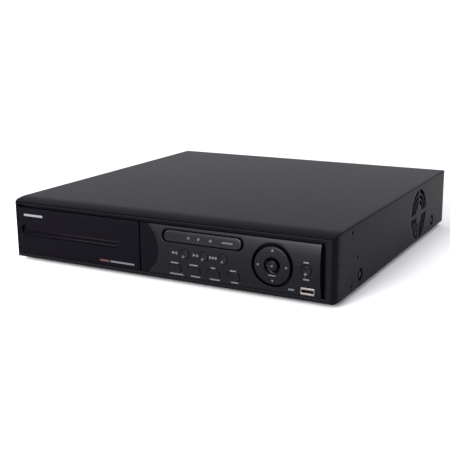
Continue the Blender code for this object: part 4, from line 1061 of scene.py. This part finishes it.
# %% Marks of the ring and the enter button
ARROW_R = 14.8
x, z = RING[0], RING[2]
arrows = [arrow(x + ARROW_R * math.cos(a), z + ARROW_R * math.sin(a), 1.5, math.degrees(a))
          for a in np.radians([0, 90, 180, 270])]
arrows.append(bar(x, z - 9.4, 7.5, 1.0))
patches("ring_arrows", arrows, lambda flat: crown(flat) - RING_PROUD, "navigation_ring", PALE_INK)
patches("enter_mark", [arrow(x - 0.4, z, 1.2, 180), bar(x + 1.0, z + 0.5, 0.5, 1.6)],
        lambda flat: np.full(len(flat), enter_low[1]), "enter", PALE_INK)

# %% Icons behind the window
ICON_R = 1.4
x, z = WINDOW[0], WINDOW[2] - 0.3
icons = [circle(x - 15.0, z, ICON_R, 16)(), circle(x - 3.6, z, ICON_R, 16)(),
         bar(x + 10.0, z, 1.6, 3.0), bar(x + 10.0, z, 3.6, 1.2), bar(x + 28.5, WINDOW[2] - 0.4, 12.0, 1.6)]
patches("window_icons", icons, lambda flat: crown(flat) + WINDOW_SUNK, "case", FAINT_INK)

# %% Marks of the left panel
BADGE = (LEFT + 26.5, PANEL_Z1 - 8.3, 26.0, 2.4)
STRIPE_X, STRIPE_Z, STRIPE_H = FASCIA_HIGH[0] - 22.0, PANEL_Z0 + 5.0, 1.8


def left_face(flat):
    """The left panel's flat face."""
    return np.full(len(flat), FLAT)


patches("left_badge", [bar(*BADGE)], left_face, "case", WHITE_INK, 0.12)
patches("series_stripe", [bar(STRIPE_X, STRIPE_Z, 30.0, STRIPE_H)], left_face, "case", PALE_INK)
patches("red_stripe", [bar(STRIPE_X - 22.5, STRIPE_Z, 12.0, STRIPE_H)], left_face, "case", RED_INK)

# %% [markdown]
# ## USB socket
#
# The socket is folded from thin tinned steel round a plastic tongue, and its mouth is flared so
# that a plug finds its way in. The flare and the tube are two panels: one with a small hole for
# the mouth, and one that is nearly all hole and very deep.

# %% USB socket
USB_W, USB_H = usb_high[0] - usb_low[0], usb_high[2] - usb_low[2]
TUBE_W, TUBE_H, TUBE_WALL = 13.1, 5.7, 0.4
mouth = stadium(USB[0], USB[2], USB_W - 1.0, USB_H - 3.9, 0.4, 3)
flare = panel(stadium(USB[0], USB[2], USB_W, USB_H, 0.8, 4), [mouth], flat_place(usb_low[1]), 0.7, 0.3, 1.5)
bore = stadium(USB[0], USB[2], TUBE_W - 2 * TUBE_WALL, TUBE_H - 2 * TUBE_WALL, 0.4, 4)
tube = panel(stadium(USB[0], USB[2], TUBE_W, TUBE_H, 0.6, 4), [bore], flat_place(usb_low[1] + 0.4),
             usb_high[1] - usb_low[1] - 0.4, 0.1, 2.0)
piece("usb_socket", [flare, tube], "case", TIN, ["usb_shell"])
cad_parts["usb_tongue"].data.materials[0] = BLACK_ABS

# %% [markdown]
# ## Feet
#
# Four moulded rubber feet stand under the case. Each is a turned cup with a screw hole in its
# underside, so one softened profile of six points makes all four.

# %% Feet
for node in [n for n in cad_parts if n.startswith("foot_")]:
    low, high = corners(node)
    centre = (low[0] + high[0]) / 2, (low[1] + high[1]) / 2
    r = (high[0] - low[0]) / 2
    profile = soften([(0, low[2] + 1.2), (3.2, low[2] + 1.2), (3.6, low[2]), (r - 1.5, low[2]), (r, high[2]),
                      (0, high[2])], 0.8)
    piece(node + "_rubber", [turned("Z", centre, profile)], "case", RUBBER, [node])

# %% [markdown]
# ## The back panel
#
# The back is a flat painted panel with a cut-out for every connector, so the panel maker does it
# again, this time seen from behind: depth now runs towards the front. The places of the
# connectors come from the boxes of their plain parts.

# %% Places of the connectors
REAR_LOW, REAR_HIGH = corners("rear_panel")
REAR = REAR_HIGH[1]
BLOCK_BACK = REAR_LOW[1] - 0.3
VIDEO_LOW, VIDEO_HIGH = corners("video_input_block")
AUDIO_LOW, AUDIO_HIGH = corners("audio_block")
MONITOR_LOW, MONITOR_HIGH = corners("monitor_port")
NETWORK_LOW, NETWORK_HIGH = corners("network_jack")
TERMINAL_LOW, TERMINAL_HIGH = corners("alarm_terminal_block")
INLET_LOW, INLET_HIGH = corners("power_inlet")
PORT_END = VIDEO_HIGH[1]
AUDIO_END = AUDIO_HIGH[1]
VIDEO_COLUMNS, VIDEO_PITCH, VIDEO_R = 4, 22.0, 4.8
VIDEO_ROWS = (FLOOR_Z + 21.0, FLOOR_Z + 45.0)
AUDIO_COLUMNS, AUDIO_PITCH, AUDIO_R = 2, 17.0, 4.15
AUDIO_ROWS = (FLOOR_Z + 22.0, FLOOR_Z + 41.0)
VIDEO_PLACES = [(VIDEO_LOW[0] + 10 + i * VIDEO_PITCH, z) for z in VIDEO_ROWS for i in range(VIDEO_COLUMNS)]
AUDIO_PLACES = [(AUDIO_LOW[0] + 8 + i * AUDIO_PITCH, z) for z in AUDIO_ROWS for i in range(AUDIO_COLUMNS)]
MONITOR = (MONITOR_LOW[0] + MONITOR_HIGH[0]) / 2, FLOOR_Z + 44.0
NETWORK = (NETWORK_LOW[0] + NETWORK_HIGH[0]) / 2, FLOOR_Z + 22.0
TERMINAL = (TERMINAL_LOW[0] + TERMINAL_HIGH[0]) / 2, FLOOR_Z + 22.0
INLET = (INLET_LOW[0] + INLET_HIGH[0]) / 2, FLOOR_Z + 32.0
print("sockets:", len(VIDEO_PLACES), "video,", len(AUDIO_PLACES), "audio")

# %% Back panel
CUT_GAP = 0.35
CUT_OUTS = ((INLET, 28.6, 20.6, 2.0, 4), (MONITOR, 18.2, 9.4, 0.5, 3), (NETWORK, 16.8, 14.3, 0.5, 3),
            (TERMINAL, 30.8, 12.8, 0.5, 3))


def rear_place(y):
    """Place flat x, z points on an upright plane that faces the back; depth runs forwards."""
    return lambda flat, depth: np.stack([flat[:, 0], y - depth + np.zeros(len(flat)), flat[:, 1]], 1)


rear_cuts = [circle(*place, VIDEO_R + CUT_GAP, 32) for place in VIDEO_PLACES]
rear_cuts += [circle(*place, AUDIO_R + CUT_GAP, 28) for place in AUDIO_PLACES]
rear_cuts += [stadium(*place, *shape) for place, *shape in CUT_OUTS]
rear_edge = frame_outline(REAR_LOW[0], REAR_HIGH[0], REAR_LOW[2], REAR_HIGH[2], (60, 12))
piece("rear_sheet", [panel(rear_edge, rear_cuts, rear_place(REAR), REAR - REAR_LOW[1], 0.2, 8.0)],
      "case", POWDER_COAT, ["rear_panel"])

# %% [markdown]
# ## Video sockets
#
# Each video socket is a bayonet: a nickel-plated barrel with two lugs for the plug to twist onto,
# a white insulator deep inside it and a gold-flashed contact. They are turned on a lathe when
# real, so each is a profile of radius and place carried round its axis. One block holds all eight.

# %% Video sockets
def rear_block(low, high, back, radius):
    """Connector body inside the case, from its plain part's front to a plane near the back panel."""
    return block(low, (high[0], back, high[2]), radius)


LUG_END = 5.7
barrel = [(3.9, REAR - 3.4), (3.9, PORT_END - 0.3), (4.1, PORT_END), (4.5, PORT_END),
          (VIDEO_R, PORT_END - 0.4), (VIDEO_R, REAR + 2.2), (VIDEO_R - 0.5, REAR + 1.9),
          (VIDEO_R - 0.5, REAR + 1.0), (VIDEO_R, REAR + 0.8), (VIDEO_R, BLOCK_BACK - 0.5)]
insulator = [(3.4, REAR - 3.2), (3.4, REAR + 1.0), (1.6, REAR + 1.4), (1.6, REAR + 4.6), (1.0, REAR + 4.8)]
contact = [(0.75, REAR + 4.0), (0.75, REAR + 5.5), (0.4, REAR + 5.9)]
lugs = [turned("X", (PORT_END - 3.2, z), [(1.0, x + side * 4.5), (1.0, x + side * (LUG_END - 0.3)),
                                          (0.7, x + side * LUG_END)], 16)
        for x, z in VIDEO_PLACES for side in (-1, 1)]
body = rear_block(VIDEO_LOW, VIDEO_HIGH, BLOCK_BACK, 0.8)
barrels = [turned("Y", place, barrel, 40) for place in VIDEO_PLACES]
piece("video_socket_barrels", [body, *barrels, *lugs], "case", NICKEL, ["video_input_block"])
piece("video_socket_cores", [turned("Y", place, insulator, 28) for place in VIDEO_PLACES], "case",
      WHITE_NYLON)
piece("video_socket_pins", [turned("Y", place, contact, 14) for place in VIDEO_PLACES], "case", GOLD)

# %% [markdown]
# ## Audio sockets
#
# An audio socket is a plain plated tube round a coloured insulator: red for one channel and white
# for the other. Colour is the only thing that tells them apart, so the same profile serves both.

# %% Audio sockets
shell = [(3.2, REAR - 2.0), (3.2, AUDIO_END), (3.7, AUDIO_END), (AUDIO_R, AUDIO_END - 0.5),
         (AUDIO_R, BLOCK_BACK - 0.5)]
core = [(3.0, REAR - 1.8), (3.0, AUDIO_END - 0.8), (1.7, AUDIO_END - 0.5), (1.7, REAR - 1.0)]
piece("audio_socket_body", [rear_block(AUDIO_LOW, AUDIO_HIGH, BLOCK_BACK, 0.8)], "case", BLACK_ABS,
      ["audio_block"])
piece("audio_socket_shells", [turned("Y", place, shell, 36) for place in AUDIO_PLACES], "case", NICKEL)
for name, finish, places in (("red", RED_NYLON, AUDIO_PLACES[:2]), ("white", WHITE_NYLON, AUDIO_PLACES[2:])):
    piece(name + "_audio_cores", [turned("Y", place, core, 32) for place in places], "case", finish)

# %% [markdown]
# ## Monitor port
#
# The shell of a monitor port is pressed into a D so that its plug fits one way only. Its outline
# is a trapezoid with softened corners, lofted out of the panel and rolled over at the rim. Inside
# it is a blue insulator with fifteen small holes in three rows, and a hexagonal nut stands on
# either side.

# %% Monitor port
D_TOP, D_BOTTOM, D_HALF = 8.4, 7.2, 4.1
HOLE_PITCH, ROW_PITCH = 2.3, 2.2
NUT_OFFSET = 12.5


def d_shape(inset):
    """Trapezoid with round corners, wider at the top, drawn in by an inset."""
    loop = np.array([(-D_TOP, D_HALF), (-D_BOTTOM, -D_HALF), (D_BOTTOM, -D_HALF), (D_TOP, D_HALF)])
    loop = loop + np.array([[1, -1], [1, 1], [-1, 1], [-1, -1]]) * inset + np.array(MONITOR)
    return soften(np.concatenate([loop, loop[:2]]), 1.3, 5)[1:-1]


rim = [(0.0, BLOCK_BACK - 0.5), (0.0, PORT_END - 3.8), (0.15, PORT_END - 3.5), (0.45, PORT_END - 3.5),
       (0.6, PORT_END - 3.8), (0.6, REAR - 1.0)]
shell = loft([along("Y", d_shape(inset), y) for inset, y in rim])
flange_edge = stadium(MONITOR[0], (MONITOR_LOW[2] + MONITOR_HIGH[2]) / 2, 30.8,
                      MONITOR_HIGH[2] - MONITOR_LOW[2], 1.0, 4)
flange = panel(flange_edge, [], rear_place(BLOCK_BACK), 1.0, 0.2, 6.0)
piece("monitor_shell", [shell, flange], "case", NICKEL, ["monitor_port"])
pin_holes = [circle(MONITOR[0] + (i - 2 + (row - 1) * 0.4) * HOLE_PITCH, MONITOR[1] + (row - 1) * ROW_PITCH,
                    0.5, 12) for row in range(3) for i in range(5)]
face = panel(lambda grow=0.0: d_shape(0.8 - grow), pin_holes, rear_place(PORT_END - 4.6), 3.0, 0.15, 2.0)
piece("monitor_insulator", [face], "case", BLUE_NYLON)
nut = [(1.3, REAR + 2.2), (1.3, REAR + 4.9), (1.6, REAR + 5.2), (2.6, REAR + 5.0), (2.8, REAR + 4.6),
       (2.8, REAR - 0.4)]
nuts = [turned("Y", (MONITOR[0] + side * NUT_OFFSET, MONITOR[1]), nut, 6) for side in (-1, 1)]
piece("monitor_nuts", nuts, "case", NICKEL, sharp=20)

# %% [markdown]
# ## Network jack
#
# The jack is a plated box with a rectangular mouth, a black liner and eight sprung contacts that
# slant up to meet the plug. The mouth is deep, so a panel with one hole makes the box, and the
# contacts are thin strips lofted along three points each.

# %% Network jack
JACK_DEPTH = 12.0
CONTACTS, CONTACT_PITCH = 8, 1.02
mouth = stadium(NETWORK[0], NETWORK[1] - 0.4, 12.0, 8.4, 0.4, 3)
jack = panel(stadium(*NETWORK, 15.8, 13.4, 0.5, 3), [mouth], rear_place(REAR + 1.0), JACK_DEPTH, 0.15, 3.0)
body = rear_block(NETWORK_LOW, NETWORK_HIGH, REAR - 11.5, 0.4)
piece("network_shell", [jack, body], "case", NICKEL, ["network_jack"])
plug_way = stadium(NETWORK[0], NETWORK[1] - 0.2, 11.0, 7.0, 0.3, 3)
liner_edge = stadium(NETWORK[0], NETWORK[1] - 0.4, 11.9, 8.3, 0.4, 3)
liner = panel(liner_edge, [plug_way], rear_place(REAR + 0.6), 9.0, 0.1, 3.0)
piece("network_liner", [liner], "case", BLACK_ABS)
slope = [(REAR - 9.0, NETWORK[1] + 2.6), (REAR - 3.0, NETWORK[1] + 2.2), (REAR - 1.2, NETWORK[1] + 3.1)]
contacts = []
for i in range(CONTACTS):
    x = NETWORK[0] + (i - (CONTACTS - 1) / 2) * CONTACT_PITCH
    contacts.append(loft([np.stack([x + np.array([-0.2, 0.2, 0.2, -0.2]), np.full(4, y),
                                    z + np.array([0, 0, 0.3, 0.3])], 1) for y, z in slope]))
piece("network_contacts", contacts, "case", GOLD)

# %% [markdown]
# ## Alarm terminal block
#
# Alarm wires go into the square mouths of a green terminal block, and a screw above each one
# clamps its wire. The body is a panel with eight deep mouths.

# %% Alarm terminal block
POLES, POLE_PITCH = 8, 3.7
WIRE_Z = TERMINAL[1] - 0.8
pole_x = [TERMINAL[0] + (i - (POLES - 1) / 2) * POLE_PITCH for i in range(POLES)]
mouths = [stadium(x, WIRE_Z, 2.7, 3.2, 0.3, 3) for x in pole_x]
nose = panel(stadium(*TERMINAL, 29.8, 11.8, 0.6, 3), mouths, rear_place(PORT_END - 1.0), 7.6, 0.25, 3.0)
body = rear_block(TERMINAL_LOW, TERMINAL_HIGH, BLOCK_BACK, 0.5)
piece("terminal_body", [nose, body], "case", GREEN_NYLON, ["alarm_terminal_block"])
screw = [(1.2, TERMINAL[1] + 5.0), (1.2, TERMINAL[1] + 6.1), (0.9, TERMINAL[1] + 6.3)]
cage = [(1.1, PORT_END - 8.0), (1.1, PORT_END - 2.2), (0.8, PORT_END - 2.2), (0.8, PORT_END - 7.0)]
screws = [turned("Z", (x, PORT_END - 4.8), screw, 18) for x in pole_x]
cages = [turned("Y", (x, WIRE_Z), cage, 8) for x in pole_x]
piece("terminal_screws", screws + cages, "case", NICKEL)

# %% [markdown]
# ## Power inlet
#
# The inlet is a deep black shroud with two cut corners, so that its plug can't be turned round,
# and three flat blades inside. The two cut corners are in the outline of the cavity, and a block
# closes its far end.

# %% Power inlet
CAVITY = [(-12, -8), (12, -8), (12, 4), (8, 8), (-8, 8), (-12, 4), (-12, -8), (12, -8)]
BLADES = ((-7, -2), (7, -2), (0, 2))


def inlet_cavity(grow=0.0):
    """Mouth of the inlet, made larger by scaling it, with softened corners."""
    return soften(np.array(CAVITY) * (1 + grow / 10) + np.array(INLET), 1.2, 4)[1:-1]


shroud = panel(stadium(*INLET, 31.0, 24.0, 2.0, 5), [inlet_cavity], rear_place(REAR + 2.5), 17.5, 0.5, 5.0)
far_end = block((INLET[0] - 13.5, INLET_LOW[1], INLET[1] - 9.5),
                (INLET[0] + 13.5, REAR - 14.8, INLET[1] + 9.5), 0.5)
piece("inlet_shell", [shroud, far_end], "case", BLACK_ABS, ["power_inlet"])
blades = [block((INLET[0] + dx - 1.0, REAR - 15.5, INLET[1] + dz - 2.0),
                (INLET[0] + dx + 1.0, REAR + 0.5, INLET[1] + dz + 2.0), 0.4) for dx, dz in BLADES]
piece("inlet_blades", blades, "case", NICKEL)

# %% [markdown]
# ## Printing on the back
#
# The labels of the back are plain bars too, one by each connector, on the same flat paint.

# %% Labels of the back
def back_face(flat):
    """The back panel's face, a hair outside it so that the ink lies on the paint."""
    return np.full(len(flat), REAR + 0.05)


back_labels = [bar(x, z - 8.6, 7.0, 1.3) for x, z in VIDEO_PLACES]
back_labels += [bar(x, z - 8.0, 6.0, 1.2) for x, z in AUDIO_PLACES]
for (x, z), above, width, height in ((MONITOR, 8.6, 12.0, 1.3), (NETWORK, 9.6, 10.0, 1.3),
                                     (TERMINAL, 9.2, 16.0, 1.3), (INLET, 15.6, 14.0, 1.4)):
    back_labels.append(bar(x, z + above, width, height))
patches("back_labels", back_labels, back_face, "case", PALE_INK)

# %% [markdown]
# ## The parts that keep their plain shape
#
# The boards, brackets and drives inside already have their right shapes. They only need their
# real finishes.

# %% Finishes of the remaining parts
FINISHES = {
    ZINC: ["disc_drive_case", "disc_drive_lid", "disc_drive_bracket", "hard_drive_bracket",
           "disc_spindle"],
    BLACK_ZINC: ["chassis_pan", *SCREWS],
    TRAY_PLASTIC: ["disc_tray"],
    FAN_PLASTIC: ["fan_frame", "fan_rotor", "mains_capacitor"],
    BOARD_GREEN: ["key_board", "main_board", "power_supply_board"],
    CASTING: ["hard_drive"],
    BLACK_ANODISED: ["heat_sink", "transformer"],
    WHITE_NYLON: ["navigation_gimbal"],
    GREY_PVC: ["front_ribbon", "drive_cable"],
}
for finish, names in FINISHES.items():
    for name in names:
        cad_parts[name].data.materials[0] = finish
print("kept parts:", sum(len(names) for names in FINISHES.values()))

# %% [markdown]
# ## Floor, light and camera
#
# A pale seamless floor, an even white surround and a large soft light in front give the plain look
# of a catalogue. The large light shows up as the bright upper half of the crowned panel, and a
# smaller one far to the left lights the ledge of the tray. The floor could be one flat square, but
# its far edge would show as a horizon, so its rim curves up instead.

# %% Floor
FLOOR_TURNS = 64
FLAT_R, RISE_R, RIM_R = 4.0, 5.0, 14.0


def plain_floor():
    """Matt paper whose far part curves up by (r - RISE_R) squared over 30, in metres."""
    material, tree, shader, coords = begin("pale_paper", "#ffffff", 0.9)
    fibres = add(tree, "ShaderNodeTexNoise", {"Vector": coords, "Scale": 1 / (3.0 * MM), "Detail": 2.0})
    gloss = add(tree, "ShaderNodeMapRange", {"Value": fibres.outputs["Fac"], "To Min": 0.85,
                                             "To Max": 0.95, **NOISE})
    feed(tree, shader, {"Roughness": gloss.outputs["Result"]})
    r = np.concatenate([[0.5, 2.0, FLAT_R], np.linspace(RISE_R, RIM_R, 19)])
    rise = np.clip(r - RISE_R, 0, None) ** 2 / 30
    rings = [along("Z", circle(0, 0, radius, FLOOR_TURNS)(), height) for radius, height in zip(r, rise)]
    points = np.concatenate(rings)
    ring = np.arange(FLOOR_TURNS)
    faces = [tuple(ring)]
    for i in range(len(r) - 1):
        faces += band(ring + (i + 1) * FLOOR_TURNS, ring + i * FLOOR_TURNS)
    mesh = bpy.data.meshes.new("floor")
    mesh.from_pydata(points.tolist(), [], [tuple(map(int, face)) for face in faces])
    mesh.shade_smooth()
    mesh.materials.append(material)
    floor = bpy.data.objects.new("floor", mesh)
    bpy.context.scene.collection.objects.link(floor)


plain_floor()
print("floor:", FLOOR_TURNS, "sides, out to", RIM_R, "m")

# %% Lights
def soft_light(name, place, target, size, watts):
    """Square area light aimed at a point."""
    light = bpy.data.lights.new(name, "AREA")
    light.energy = watts
    light.size = size
    lamp = bpy.data.objects.new(name, light)
    lamp.location = place
    lamp.rotation_euler = (Vector(target) - Vector(place)).to_track_quat("-Z", "Y").to_euler()
    lamp.visible_camera = False
    bpy.context.scene.collection.objects.link(lamp)


world = bpy.data.worlds.new("studio")
world.use_nodes = True
feed(world.node_tree, world.node_tree.nodes["Background"], {"Color": linear("#f4f4fa"), "Strength": 1.1})
bpy.context.scene.world = world
soft_light("far_left", (-1.12, -1.6, 0.58), (-0.1, -0.19, 0.035), 0.35, 4.5)
soft_light("front_left", (-0.2, -1.6, 0.68), (0, -0.19, 0.04), 0.7, 44)
bpy.context.scene.view_settings.view_transform = "Standard"
print("lights:", [lamp.name for lamp in bpy.data.lights])

# %% [markdown]
# ## Camera
#
# The camera stands in front on the right and looks down a little. Its place is given in widths of
# the case, and its directions in degrees, so that the view stays the same if the case changes.

# %% Camera
CASE_W = (RIGHT - LEFT) * MM
SIDE, AWAY, UP = 1.213, 1.853, 0.687
AZIMUTH, DOWN, ROLL = 28.67, 13.79, 0.565
lens = bpy.data.cameras.new("camera")
lens.lens = 68.87
lens.sensor_width = 36.0
camera = bpy.data.objects.new("camera", lens)
place = Vector(((LEFT + RIGHT) / 2 * MM + SIDE * CASE_W, FRONT * MM - AWAY * CASE_W,
                FLOOR_Z * MM + UP * CASE_W))
turn = (Matrix.Rotation(math.radians(AZIMUTH), 4, "Z") @ Matrix.Rotation(math.radians(90 - DOWN), 4, "X")
        @ Matrix.Rotation(math.radians(-ROLL), 4, "Z"))
camera.matrix_world = Matrix.Translation(place) @ turn
bpy.context.scene.collection.objects.link(camera)
bpy.context.scene.camera = camera
print("camera at", [round(c, 3) for c in place])
